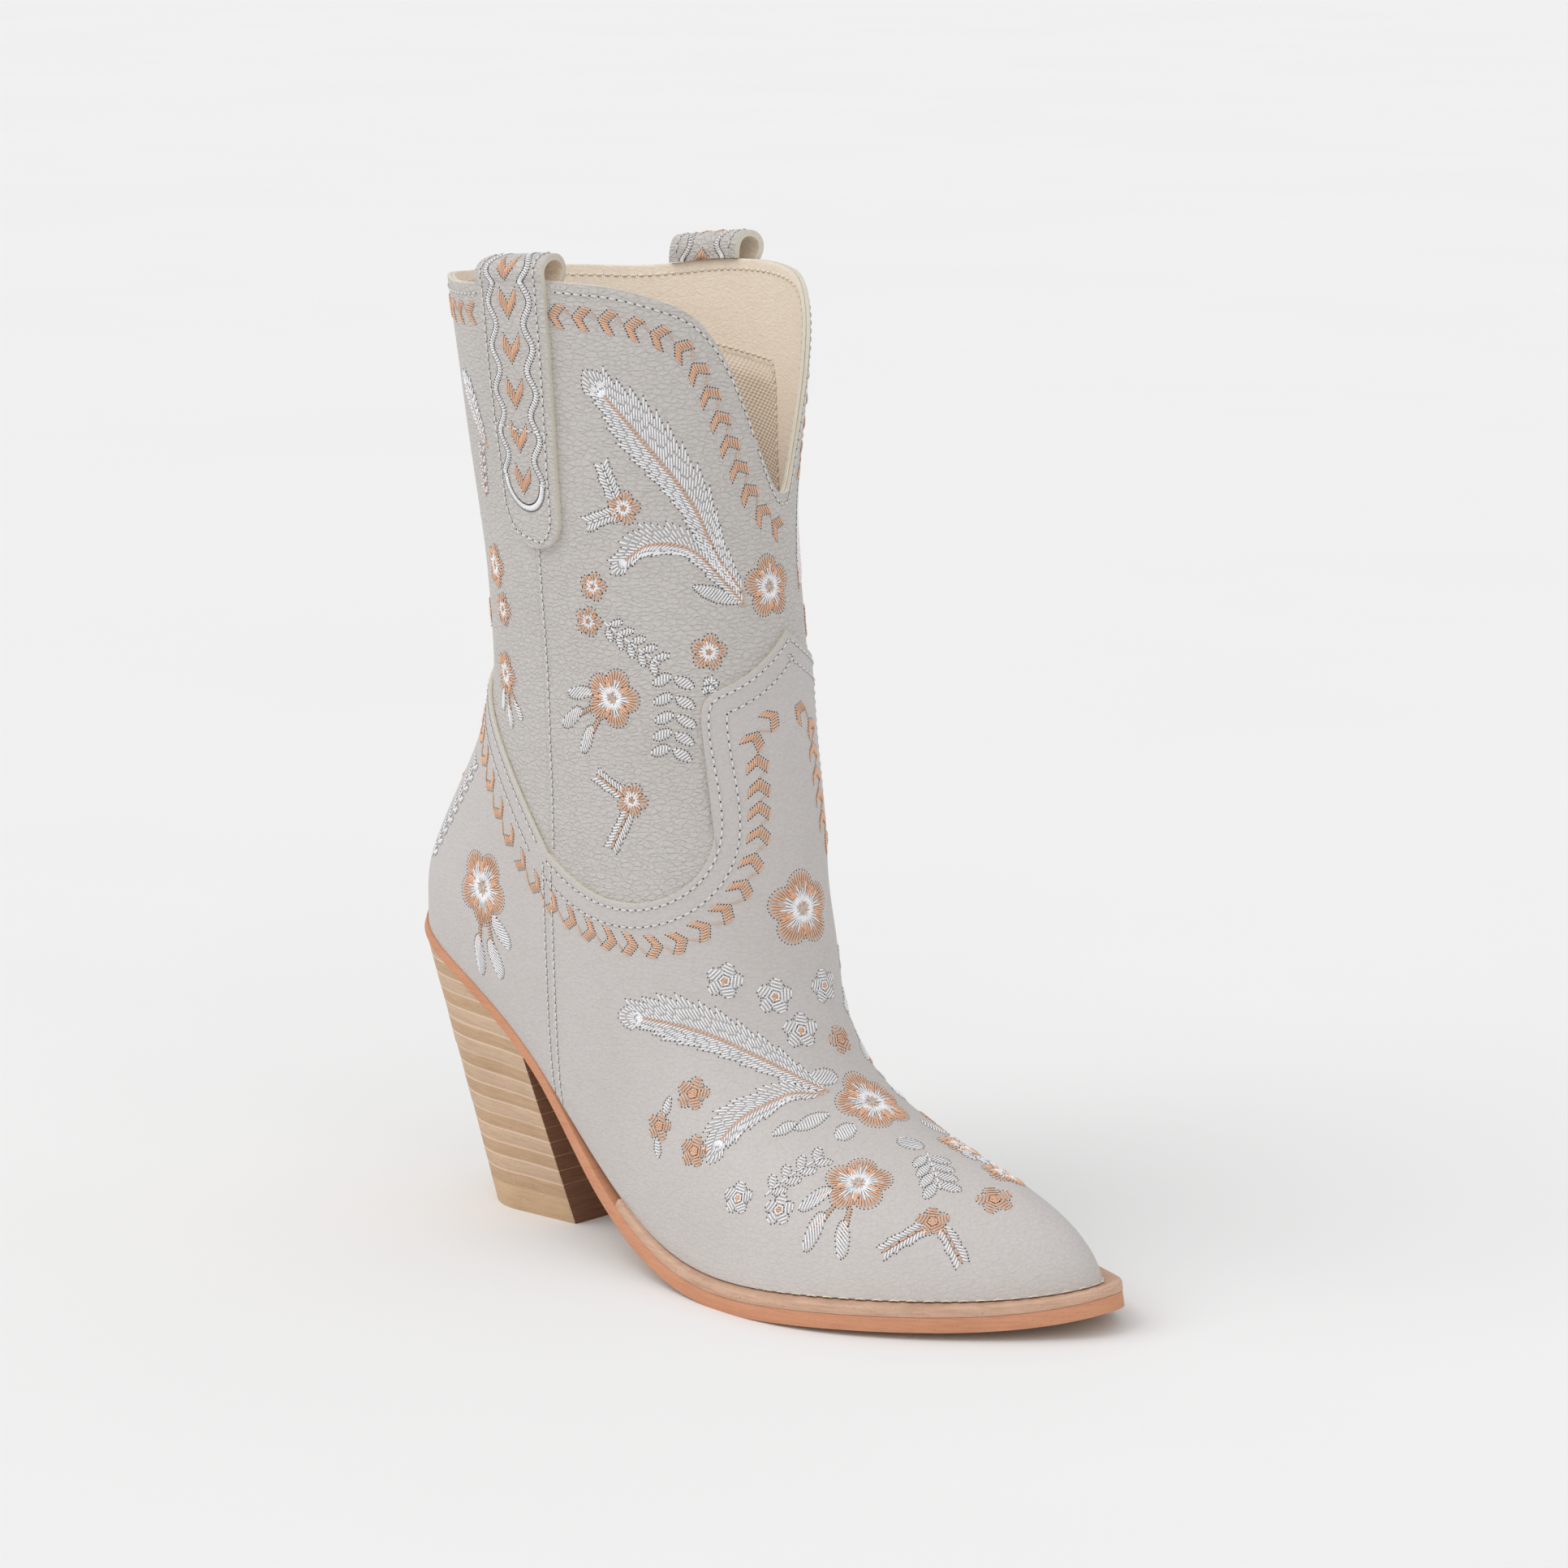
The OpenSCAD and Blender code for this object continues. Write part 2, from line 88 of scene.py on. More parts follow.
STRAP_W = 25.5
STRAP_LEAN = 6
STRAP_LIFT = {1: 0, -1: 5}
STRAP_T = 1.2
STRAP_BACKING_T = 0.8
STRAP_END_LEVEL = 8.62

OUTSOLE_T = 4.5
SEAT_T = 3
WELT_T = 3
WELT_OUT = 6.5
SEAT_OUT = 2
WELT_START = 84
WELT_IN = -4.5

SOCK_LOW = 3.6
SOCK_T = 1.2

TOP_LIFT_T = 8
TOP_LIFT_L = 46
TOP_LIFT_W = 42
LIFT_COUNT = 17
LIFT_STACK_TOP = 86
LIFT_FRONT = 26
SEAT_ANGLE = 60


def mix(a, b, f):
    return a + (b - a) * f


def smooth(a, b, x):
    f = np.clip((np.asarray(x, float) - a) / (b - a), 0, 1)
    return f * f * (3 - 2 * f)


def unit(v):
    return v / np.maximum(np.linalg.norm(v, axis=-1, keepdims=True), 1e-12)


def spline_weights(f):
    return np.stack([
        (1 - f) ** 3,
        3 * f ** 3 - 6 * f ** 2 + 4,
        -3 * f ** 3 + 3 * f ** 2 + 3 * f + 1,
        f ** 3,
    ], -1) / 6


def spline(rows, at):
    """Cubic B-spline through rows of control values, straight past both ends."""
    rows = np.asarray(rows, float)
    at = np.clip(np.asarray(at, float), 0, len(rows) - 1)
    first = np.minimum(at.astype(int), len(rows) - 2)
    weights = spline_weights(at - first)
    padded = np.concatenate([[2 * rows[0] - rows[1]], rows, [2 * rows[-1] - rows[-2]]])
    return sum(weights[..., k:k + 1] * padded[first + k] for k in range(4))


def mirror_weights(at):
    """Weights of seven stations, mirrored past both ends."""
    at = np.clip(np.asarray(at, float), 0, 6)
    first = np.minimum(at.astype(int), 5)
    weights = spline_weights(at - first)
    out = np.zeros(at.shape + (7,))
    for k in range(4):
        station = np.abs(first - 1 + k)
        station = np.where(station > 6, 12 - station, station)
        np.put_along_axis(
            out, station[..., None],
            np.take_along_axis(out, station[..., None], -1) + weights[..., k:k + 1], -1)
    return out


def fold(angle):
    turned = np.mod(angle, 360)
    return np.where(turned > 180, 360 - turned, turned)


def angle_off(angle, centre):
    return np.mod(np.asarray(angle, float) - centre + 180, 360) - 180


def boot_point(angle, level):
    angle, level = np.broadcast_arrays(np.asarray(angle, float), np.asarray(level, float))
    row = spline(LEVELS, level)
    stations = mirror_weights(fold(angle) / 30)
    half_width = (stations * row[..., 6:13]).sum(-1)
    s = (1 - np.cos(np.radians(angle))) / 2
    off = angle_off(angle, FLARE_ANGLE)
    bump = np.where(np.abs(off) > FLARE_REACH, 0, np.cos(np.radians(off * 90 / FLARE_REACH)) ** 2)
    out = (bump * smooth(FLARE_START, TOP_LEVEL, level))[..., None]
    return np.stack([
        mix(row[..., 0], row[..., 2], s),
        -np.sin(np.radians(angle)) * half_width + row[..., 5] * (stations @ SIDE_SWING),
        mix(row[..., 1], row[..., 3], s) + row[..., 4] * (stations @ SOLE_BOW),
    ], -1) + out * FLARE


def tangents(angle, level):
    """Change of the surface point for one degree and for one level."""
    across = boot_point(angle + 0.5, level) - boot_point(angle - 0.5, level)
    low = np.maximum(np.asarray(level, float) - 0.02, 0)
    high = np.asarray(level, float) + 0.02
    up = (boot_point(angle, high) - boot_point(angle, low)) / (high - low)[..., None]
    return across, up


def outward(angle, level):
    across, up = tangents(angle, level)
    return unit(np.cross(across, up))


def creases(angle, level):
    """Soft folds of the worn leather, in millimetres off the surface."""
    a = np.radians(np.asarray(angle, float))
    t = np.asarray(level, float)
    ankle = np.exp(-((t - 6.3) / 1.3) ** 2)
    shaft = smooth(6.5, 8, t) * (1 - smooth(9.4, 10, t))
    folds = 0.35 * ankle * np.sin(5 * t + 2.2 * np.sin(2 * a) + 1.1)
    waves = 0.30 * shaft * np.sin(2.3 * t + 3 * a + 0.6) + 0.18 * shaft * np.sin(4.1 * t - 5 * a)
    return folds * smooth(100, 150, fold(angle)) + waves


def skin(angle, level, distance):
    return boot_point(angle, level) + outward(angle, level) * (
        np.asarray(distance + creases(angle, level))[..., None])


def angle_at(x, level):
    row = spline(LEVELS, level)
    return np.degrees(np.arccos(np.clip(
        1 - 2 * (x - row[..., 0]) / (row[..., 2] - row[..., 0]), -1, 1)))


def seam_angle(level, side):
    return angle_at(SEAM_X[side], level)


def front_angle(across, level):
    return np.where(
        across < 0.5,
        mix(seam_angle(level, 1), TONGUE_ANGLE, 2 * across),
        mix(TONGUE_ANGLE, 360 - seam_angle(level, -1), 2 * across - 1))


def back_angle(across, level):
    seam = np.where(across < 0.5, seam_angle(level, -1), seam_angle(level, 1))
    return (2 * across - 1) * seam


def topline(angle):
    """Level of the topline: high at the sides, lower at the back, deepest in front."""
    off = angle_off(angle, DIP_ANGLE)
    beside = smooth(50, 115, fold(angle)) * (1 - smooth(125, 175, fold(angle)))
    back = 1 - smooth(10, np.where(np.mod(angle, 360) < 180, 45, 100), fold(angle))
    outer_dip, inner_dip = ((np.abs(off) / reach) ** power for reach, power in (OUTER_DIP, INNER_DIP))
    dip = np.where(off < 0, outer_dip, inner_dip)
    return (TOP_LEVEL - REAR_DROP - BACK_DROP * back + (REAR_DROP + SIDE_RISE) * beside
            - DIP_DEPTH * np.exp(-dip))


def facing_low(angle):
    """Level of the facing's lower edge, which is lowest around the dip."""
    off = np.abs(angle_off(angle, DIP_ANGLE))
    return TOP_LEVEL - mix(FACING_DROP, FACING_DEPTH, smooth(34, 48, off))


VAMP_EDGE = np.array([
    [0.00, 5.95], [0.11, 5.95], [0.25, 6.05], [0.40, 6.35], [0.53, 6.75], [0.60, 7.15],
    [0.58, 7.60], [0.56, 8.05], [0.67, 8.13], [0.83, 8.27], [1.00, 8.42],
])


def vamp_top(across):
    """The vamp's top edge: place across the front, and level."""
    side = 1 - np.abs(2 * across - 1)
    point = spline(VAMP_EDGE, side * (len(VAMP_EDGE) - 1))
    return np.where(across < 0.5, point[..., 0] / 2, 1 - point[..., 0] / 2), point[..., 1]


def counter_top(across):
    return 5.95 + 0.9 * (1 - (2 * across - 1) ** 2)


def shaft_end(across):
    return 5.6 + 2.2 * smooth(0.35, 0.95, 1 - np.abs(2 * across - 1))


def sole_point(angle, out, up):
    """Point beside the feather line: out is outwards in plan, up is off the sole's line."""
    angle = np.asarray(angle, float)
    here = boot_point(angle, 0)
    along = boot_point(angle + 3, 0) - boot_point(angle - 3, 0)
    plan = unit(np.stack([along[..., 1], -along[..., 0]], -1))
    folded = fold(angle)
    ahead = boot_point(np.minimum(folded + 6, 180), 0) - boot_point(np.maximum(folded - 6, 0), 0)
    slope = unit(np.stack([ahead[..., 0], ahead[..., 2]], -1))
    rise = slope[..., 1] / slope[..., 0] * plan[..., 0] * out
    return np.stack([
        here[..., 0] + plan[..., 0] * out - slope[..., 1] * up,
        here[..., 1] + plan[..., 1] * out,
        np.maximum(here[..., 2] + rise + slope[..., 0] * up, 0),
    ], -1)


def sole_out(angle):
    return mix(SEAT_OUT, WELT_OUT, smooth(70, 125, fold(angle)))


def sole_top(angle):
    return -WELT_T * smooth(62, 82, fold(angle))


def sole_bottom(angle):
    return sole_top(angle) - mix(SEAT_T, OUTSOLE_T, smooth(60, 90, fold(angle)))


STRAP_LOOP = {
    1: np.array([[0, 0], [0.8, 2], [0.4, 4.2], [-3.4, 6.1], [-8.6, 5.6], [-11.2, 2.4], [-8.6, -1.6],
                 [-3, -3]]),
    -1: np.array([[5, 0], [6.8, 2.6], [6.2, 5.4], [3, 7], [-0.4, 6.4], [-1.6, 4], [-1.8, 2],
                  [-1.9, 0.3]]),
}
STRAP_LENGTH = 75
STRAP_ROUND = 12
STRAP_FULL_WIDTH_AT = 60
TAB_NARROWER = 0.6


def strap_half_width(from_end):
    """Half width of a strap at a distance in millimetres from its tab's end."""
    end_w = STRAP_W / 2 - TAB_NARROWER
    short = 1 - np.maximum(from_end, 0.1) / STRAP_ROUND
    return np.where(
        from_end >= STRAP_ROUND,
        mix(end_w, STRAP_W / 2, smooth(STRAP_ROUND, STRAP_FULL_WIDTH_AT, from_end)),
        end_w * np.sqrt(np.maximum(1 - short ** 2, 0)))


def strap_x(side, run):
    """Place of a strap's centre line along the boot."""
    return SEAM_X[side] - STRAP_LEAN * run


def strap_top(side, across):
    return topline(side * angle_at(strap_x(side, 1) + across * STRAP_W / 2, TOP_LEVEL))


def strap_on_shaft(side, across, run):
    """Place of a strap's point: run goes from 0 at the tab's end to 1 at the topline."""
    level = mix(STRAP_END_LEVEL, strap_top(side, across), run)
    half = strap_half_width(run * STRAP_LENGTH)
    angle = side * angle_at(strap_x(side, run) + across * half, level)
    return angle, level


def strap_point(side, across, run, height):
    """Point of a strap: run 0 to 1 lies on the shaft, 1 to 2 goes over the loop."""
    across, run, height = np.broadcast_arrays(across, run, np.asarray(height, float))
    angle, level = strap_on_shaft(side, across, np.minimum(run, 1))
    on_shaft = skin(angle, level, height + STRAP_LIFT[side] * smooth(0.6, 1, run))
    loop = STRAP_LOOP[side]
    along = np.maximum(run - 1, 0) * (len(loop) - 1)
    ahead = spline(loop, along + 0.05) - spline(loop, along - 0.05)
    off = spline(loop, along) + height[..., None] * unit(np.stack([ahead[..., 1], -ahead[..., 0]], -1))
    top = strap_top(side, across)
    top_angle = side * angle_at(strap_x(side, 1) + across * STRAP_W / 2, top)
    plan = outward(top_angle, top) * np.array([1, 1, 0])
    in_loop = skin(top_angle, top, 0) + unit(plan) * off[..., :1]
    in_loop = in_loop + np.array([0, 0, 1.0]) * off[..., 1:]
    return np.where((run <= 1)[..., None], on_shaft, in_loop)


# Building meshes

def make_object(name, points, faces, materials, face_material=None, uvs=None):
    """New mesh object from points in millimetres; a quad that repeats its last point is a triangle."""
    mesh = bpy.data.meshes.new(name)
    points = np.asarray(points, float) * MM
    faces = np.asarray(faces, np.int32)
    used = np.ones(faces.shape, bool)
    used[:, 3] = faces[:, 3] != faces[:, 2]
    loops = faces[used]
    corners = used.sum(1)
    mesh.vertices.add(len(points))
    mesh.vertices.foreach_set("co", points.astype(np.float32).ravel())
    mesh.loops.add(len(loops))
    mesh.loops.foreach_set("vertex_index", loops)
    mesh.polygons.add(len(faces))
    mesh.polygons.foreach_set("loop_start", (np.cumsum(corners) - corners).astype(np.int32))
    mesh.update(calc_edges=True)
    mesh.validate()
    for material in materials:
        mesh.materials.append(material)
    if face_material is not None:
        mesh.polygons.foreach_set("material_index", np.asarray(face_material, np.int32))
    mesh.polygons.foreach_set("use_smooth", np.full(len(faces), True))
    if uvs is not None:
        layer = mesh.uv_layers.new(name="fabric")
        layer.data.foreach_set("uv", np.asarray(uvs, np.float32)[loops].ravel())
    piece = bpy.data.objects.new(name, mesh)
    bpy.context.scene.collection.objects.link(piece)
    return piece


def grid_faces(nu, nv, loop):
    """Quads of a grid with nu by nv steps, seen with u to the right and v upwards."""
    columns = nu if loop else nu + 1
    i, j = np.meshgrid(np.arange(nu), np.arange(nv))
    right = (i + 1) % columns if loop else i + 1
    quads = np.stack([j * columns + i, j * columns + right, (j + 1) * columns + right,
                      (j + 1) * columns + i], -1)
    return quads.reshape(-1, 4)


def slab_mesh(front, back, nu, nv, loop=False):
    """Closed shell between two grids of points: faces, and 0 front, 1 back, 2 walls."""
    columns = nu if loop else nu + 1
    count = columns * (nv + 1)
    inner = grid_faces(nu, nv, loop)
    behind = inner[:, ::-1] + count
    i = np.arange(nu)
    right = (i + 1) % columns if loop else i + 1
    top = nv * columns
    walls = [
        np.stack([right, i, i + count, right + count], -1),
        np.stack([top + i, top + right, top + right + count, top + i + count], -1),
    ]
    if not loop:
        j = np.arange(nv) * columns
        walls.append(np.stack([j, j + columns, j + columns + count, j + count], -1))
        k = j + nu
        walls.append(np.stack([k + columns, k, k + count, k + columns + count], -1))
    walls = np.concatenate(walls)
    faces = np.concatenate([inner, behind, walls])
    kind = np.concatenate([np.zeros(len(inner)), np.ones(len(behind)), np.full(len(walls), 2)])
    points = np.concatenate([np.reshape(front, (-1, 3)), np.reshape(back, (-1, 3))])
    return points, faces, kind.astype(np.int32)


def bevel(piece, width):
    """Rounds the sharp edges of a shell."""
    modifier = piece.modifiers.new("rounded edges", "BEVEL")
    modifier.width = width * MM
    modifier.segments = 2
    modifier.limit_method = "ANGLE"
    modifier.angle_limit = math.radians(50)
    modifier.harden_normals = False


def finish_piece(piece, slot, *nodes):
    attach(piece, "root")
    if nodes:
        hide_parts(*nodes)
    return piece


def panel(name, place, inside, outside, nu, nv, materials, loop=False, uvs=False):
    """Leather panel on the boot's surface; place(u, v) gives angles and levels."""
    mean_radius, level_rise, middle_level = 42, 33, 5
    nu = int(nu * DETAIL)
    nv = int(nv * DETAIL)
    columns = nu if loop else nu + 1
    u, v = np.meshgrid(np.arange(columns) / nu, np.arange(nv + 1) / nv)
    angle, level = place(u, v)
    points, faces, kind = slab_mesh(
        skin(angle, level, outside), skin(angle, level, inside), nu, nv, loop)
    fabric = None
    if uvs:
        around = np.radians(angle) * mean_radius * MM
        fabric = np.stack([around, (level - middle_level) * level_rise * MM], -1).reshape(-1, 2)
        fabric = np.concatenate([fabric, fabric])
    return make_object(name, points, faces, materials, kind, uvs=fabric)


# Materials

class Shader:
    """One procedural material, built node by node."""

    def __init__(self, name, color, roughness=0.5, specular=0.5):
        self.material = bpy.data.materials.new(name)
        self.material.use_nodes = True
        self.tree = self.material.node_tree
        self.shader = self.tree.nodes["Principled BSDF"]
        self.set(Roughness=roughness, Specular_IOR_Level=specular)
        self.color = self.rgb(color)
        self.height = None

    def set(self, **values):
        """Constants on the main shader's sockets, with _ for each space in a name."""
        for key, value in values.items():
            self.shader.inputs[key.replace("_", " ")].default_value = value

    @staticmethod
    def rgb(color):
        """Linear colour from 0-255 sRGB values."""
        values = [c / 255 for c in color]
        return [v / 12.92 if v <= 0.04045 else ((v + 0.055) / 1.055) ** 2.4 for v in values] + [1]

    def node(self, kind, links=(), **values):
        """New node: links are (socket, source) pairs, values are constants or settings."""
        made = self.tree.nodes.new("ShaderNode" + kind)
        for key, value in values.items():
            name = key.replace("_", " ")
            if name in made.inputs:
                made.inputs[name].default_value = value
            else:
                setattr(made, key, value)
        for socket, source in links:
            self.tree.links.new(source, made.inputs[socket])
        return made

    def coordinates(self, stretch=(1, 1, 1), uv=False):
        source = self.node("TexCoord").outputs["UV" if uv else "Object"]
        return self.node("Mapping", [("Vector", source)], Scale=stretch).outputs["Vector"]

    def noise(self, scale, detail=3, rough=0.55, stretch=(1, 1, 1), twist=0):
        place = [("Vector", self.coordinates(stretch))]
        return self.node("TexNoise", place, Scale=scale, Detail=detail, Roughness=rough,
                         Distortion=twist).outputs["Fac"]

    def cells(self, scale, stretch=(1, 1, 1), feature="F1"):
        place = [("Vector", self.coordinates(stretch))]
        return self.node("TexVoronoi", place, feature=feature, Scale=scale).outputs["Distance"]

    def ramp(self, value, low, high, to_low=0.0, to_high=1.0):
        return self.node("MapRange", [("Value", value)], From_Min=low, From_Max=high,
                         To_Min=to_low, To_Max=to_high).outputs["Result"]

    def math(self, operation, value, number):
        made = self.node("Math", [(0, value)], operation=operation)
        made.inputs[1].default_value = number
        return made.outputs[0]

    def level_lines(self, first, spacing, width):
        """High in thin level bands: heights in millimetres, width as a part of the spacing."""
        value = self.node("SeparateXYZ", [("Vector", self.coordinates())]).outputs["Z"]
        for operation, number in (("SUBTRACT", first * MM), ("DIVIDE", spacing * MM), ("PINGPONG", 0.5)):
            value = self.math(operation, value, number)
        return self.ramp(value, width, 0.5 * width)

    def blend(self, factor, color, amount=1.0):
        """Mixes a colour over the surface where factor is high."""
        made = self.node("Mix", data_type="RGBA")
        self.tree.links.new(self.math("MULTIPLY", factor, amount), made.inputs["Factor"])
        self.put_color(made.inputs["A"])
        made.inputs["B"].default_value = self.rgb(color)
        self.color = made.outputs["Result"]
        return self

    def put_color(self, socket):
        """Gives a socket the colour so far, which is a constant or another node's output."""
        if isinstance(self.color, list):
            socket.default_value = self.color
        else:
            self.tree.links.new(self.color, socket)

    def bump(self, height, distance):
        """Adds relief; distance is its real height in millimetres."""
        links = [("Height", height)]
        if self.height is not None:
            links.append(("Normal", self.height))
        self.height = self.node("Bump", links, Strength=1.0, Distance=distance * MM).outputs["Normal"]
        return self

    def rough(self, value, low, high):
        self.tree.links.new(self.ramp(value, 0.3, 0.7, low, high), self.shader.inputs["Roughness"])
        return self

    def sheen(self, weight, tint):
        self.set(Sheen_Weight=weight, Sheen_Roughness=0.5, Sheen_Tint=self.rgb(tint))
        return self

    def done(self):
        self.put_color(self.shader.inputs["Base Color"])
        if self.height is not None:
            self.tree.links.new(self.height, self.shader.inputs["Normal"])
        return self.material


def leather(name, color, mottle_and_crease_shade, grain=0.05, roughness=0.5, wrinkles=0.25):
    """Fine grained leather: raised pebbles, an uneven tone, soft wrinkles and thin creases, with painted
    shade darkening the creases.
    """
    shader = Shader(name, color, roughness, 0.38)
    tone = shader.noise(170, 3, 0.6)
    pebbles = shader.ramp(shader.cells(1000), 0.1, 0.75, 1.0, 0.0)
    creases = shader.ramp(shader.cells(440, (0.8, 0.8, 1.6), "DISTANCE_TO_EDGE"), 0.0, 0.13)
    shader.blend(shader.ramp(shader.noise(28, 4, 0.6), 0.42, 0.75), mottle_and_crease_shade, 0.22)
    shader.blend(shader.ramp(tone, 0.5, 0.8), mottle_and_crease_shade, 0.22)
    shader.blend(shader.ramp(pebbles, 0.45, 0.05), mottle_and_crease_shade, 0.3)
    # Painted shade: the thin creases are darkened towards the mottle colour, where shade would fall in them.
    shader.blend(shader.ramp(creases, 0.6, 0.0), mottle_and_crease_shade, wrinkles)
    shader.bump(pebbles, grain)
    shader.bump(shader.noise(420, 4, 0.6), grain)
    shader.bump(shader.noise(150, 4, 0.6, stretch=(0.6, 0.6, 1.6), twist=0.6), wrinkles)
    shader.bump(creases, 0.4 * wrinkles)
    return shader.rough(tone, roughness - 0.06, roughness + 0.1).done()


def raw_edge(name, color, dark):
    """Cut edge of leather: fibrous, with a slightly uneven tone."""
    shader = Shader(name, color, 0.8, 0.2)
    fibres = shader.noise(900, 3, 0.7)
    shader.blend(shader.ramp(fibres, 0.45, 0.75), dark, 0.5)
    shader.blend(shader.ramp(shader.noise(90), 0.5, 0.8), dark, 0.3)
    return shader.bump(fibres, 0.1).done()


def twill(name, color, dark):
    """Woven twill: diagonal ribs crossed by yarns, about 1 mm apart."""
    shader = Shader(name, color, 0.85, 0.15)
    place = [("Vector", shader.coordinates(uv=True))]
    ribs = shader.node("TexWave", place, bands_direction="DIAGONAL", Scale=460.0, Distortion=0.6,
                       Detail=1.5, Detail_Scale=2.0).outputs["Fac"]
    yarns = shader.node("TexWave", place, bands_direction="Y", Scale=520.0, Distortion=0.4).outputs["Fac"]
    shader.blend(shader.ramp(ribs, 0.55, 0.1), dark, 0.65)
    shader.blend(shader.ramp(yarns, 0.5, 0.1), dark, 0.3)
    shader.blend(shader.ramp(shader.noise(40), 0.45, 0.8), dark, 0.3)
    return shader.bump(ribs, 0.22).bump(yarns, 0.1).sheen(0.3, color).done()


def thread(name, color, dark, gloss):
    """Shiny embroidery thread with a fine ply along and across it."""
    shader = Shader(name, color, gloss, 0.6)
    ply = shader.noise(2600, 2, 0.5)
    shader.blend(shader.ramp(ply, 0.45, 0.75), dark, 0.55)
    shader.blend(shader.ramp(shader.noise(140), 0.5, 0.8), dark, 0.35)
    return shader.bump(ply, 0.06).sheen(0.25, color).done()


def stacked(name, color, line, speck, joints=None):
    """Side of leather layers: faint strata and darker specks, with pale lines at the joints."""
    shader = Shader(name, color, 0.62, 0.3)
    strata = shader.noise(1.0, 3, 0.6, stretch=(90, 90, 1500))
    streaks = shader.noise(1.0, 4, 0.65, stretch=(120, 120, 1300))
    specks = shader.noise(1900, 2, 0.6)
    shader.blend(shader.ramp(strata, 0.42, 0.7), line, 0.5)
    shader.blend(shader.ramp(streaks, 0.5, 0.75), line, 0.4)
    shader.blend(shader.ramp(specks, 0.60, 0.74), speck, 0.5)
    shader.blend(shader.ramp(shader.noise(45), 0.45, 0.8), speck, 0.18)
    if joints:
        shader.blend(shader.level_lines(TOP_LIFT_T, joints, 0.09), LIFT_LINE, 0.75)
    shader.bump(streaks, 0.12)
    return shader.bump(specks, 0.08).done()


def plain_grain(name, color, dark, scale, roughness, metallic=0.0):
    """Simple finish of a hidden piece: fine grain over a mottled colour."""
    shader = Shader(name, color, roughness, 0.4)
    shader.set(Metallic=metallic)
    grain = shader.noise(scale, 4, 0.65)
    shader.blend(shader.ramp(grain, 0.4, 0.75), dark, 0.6)
    return shader.bump(grain, 0.12).done()


LIFT_RISE = (LIFT_STACK_TOP - TOP_LIFT_T) / LIFT_COUNT
LIFT_LINE = (232, 208, 182)
UPPER = leather("shaft leather", (201, 196, 192), (181, 175, 170), 0.17, 0.5, 0.38)
UPPER_FOOT = leather("vamp leather", (199, 194, 191), (184, 178, 173), 0.05, 0.58, 0.16)
UPPER_BACK = leather("upper leather flesh side", (206, 192, 170), (182, 164, 140), 0.09, 0.75)
CUT_EDGE = raw_edge("cut leather edge", (216, 211, 197), (194, 186, 168))
FACING = leather("facing leather", (249, 236, 220), (234, 217, 196), 0.03, 0.55, 0.12)
BACKING = leather("strap backing leather", (246, 233, 216), (230, 212, 190), 0.04, 0.6)
TWILL = twill("twill lining", (240, 226, 210), (204, 186, 164))
COPPER = thread("copper thread", (236, 190, 158), (190, 140, 108), 0.36)
SILVER = thread("silver thread", (250, 250, 252), (190, 191, 198), 0.28)
GREY = thread("grey sewing thread", (224, 222, 220), (176, 172, 168), 0.5)
CREAM = thread("cream sewing thread", (240, 230, 212), (196, 180, 156), 0.6)
# Needle holes: near-black painted shade, since a small hole looks dark only by the shade inside it.
HOLE_SHADE = plain_grain("needle hole shade", (62, 56, 53), (40, 35, 32), 1500, 0.9)
WELT = stacked("welt leather", (210, 174, 150), (176, 134, 108), (118, 80, 58))
SOLE_EDGE = stacked("outsole edge", (208, 150, 116), (190, 126, 94), (150, 96, 66))
SOLE_FACE = leather("outsole ground face", (200, 160, 122), (160, 118, 80), 0.06, 0.55)
LIFT = stacked("heel lift edge", (207, 179, 153), (182, 148, 116), (132, 100, 72), LIFT_RISE)
LIFT_DEEP = stacked("heel lift edge, darker", (198, 166, 134), (172, 138, 106), (122, 92, 66), LIFT_RISE)
# The heel breast faces forward under the arch: its colour is partly a darker leather, partly painted shade.
BREAST_AND_SHADE = stacked("heel breast, dark leather and painted shade", (134, 98, 76), (108, 74, 54), (76, 50, 36))
TOP_LIFT = stacked("top lift", (204, 174, 140), (182, 150, 114), (132, 102, 74))


# Upper, straps and linings

def vamp_place(u, v):
    across, top = vamp_top(u)
    level = v * top
    return front_angle(mix(u, across, v), level), level


def counter_place(u, v):
    level = v * counter_top(u)
    return back_angle(u, level), level


def shaft_front_place(u, v):
    level = mix(shaft_end(u), topline(front_angle(u, TOP_LEVEL)), v)
    return front_angle(u, level), level


def shaft_back_place(u, v):
    level = mix(counter_top(u) - BACK_UNDERLAP, topline(back_angle(u, TOP_LEVEL)), v)
    return back_angle(u, level), level


def band_place(low, high):
    return lambda u, v: (360 * u, mix(low(360 * u), high(360 * u), v))


def build_upper():
    shells = [
        ("vamp", vamp_place, 0, LEATHER_T, 240, 140, UPPER_FOOT),
        ("heel_counter", counter_place, 0, LEATHER_T, 120, 70, UPPER_FOOT),
        ("shaft_front", shaft_front_place, -LEATHER_T, 0, 200, 90, UPPER),
        ("shaft_back", shaft_back_place, -LEATHER_T, 0, 110, 90, UPPER),
    ]
    for name, place, inside, out, nu, nv, face in shells:
        piece = panel(name + "_leather", place, inside, out, nu, nv, [face, UPPER_BACK, CUT_EDGE])
        bevel(piece, 0.3)
        finish_piece(piece, "upper_leather", name)


def lining_join(angle):
    return LINING_JOIN + 0 * angle


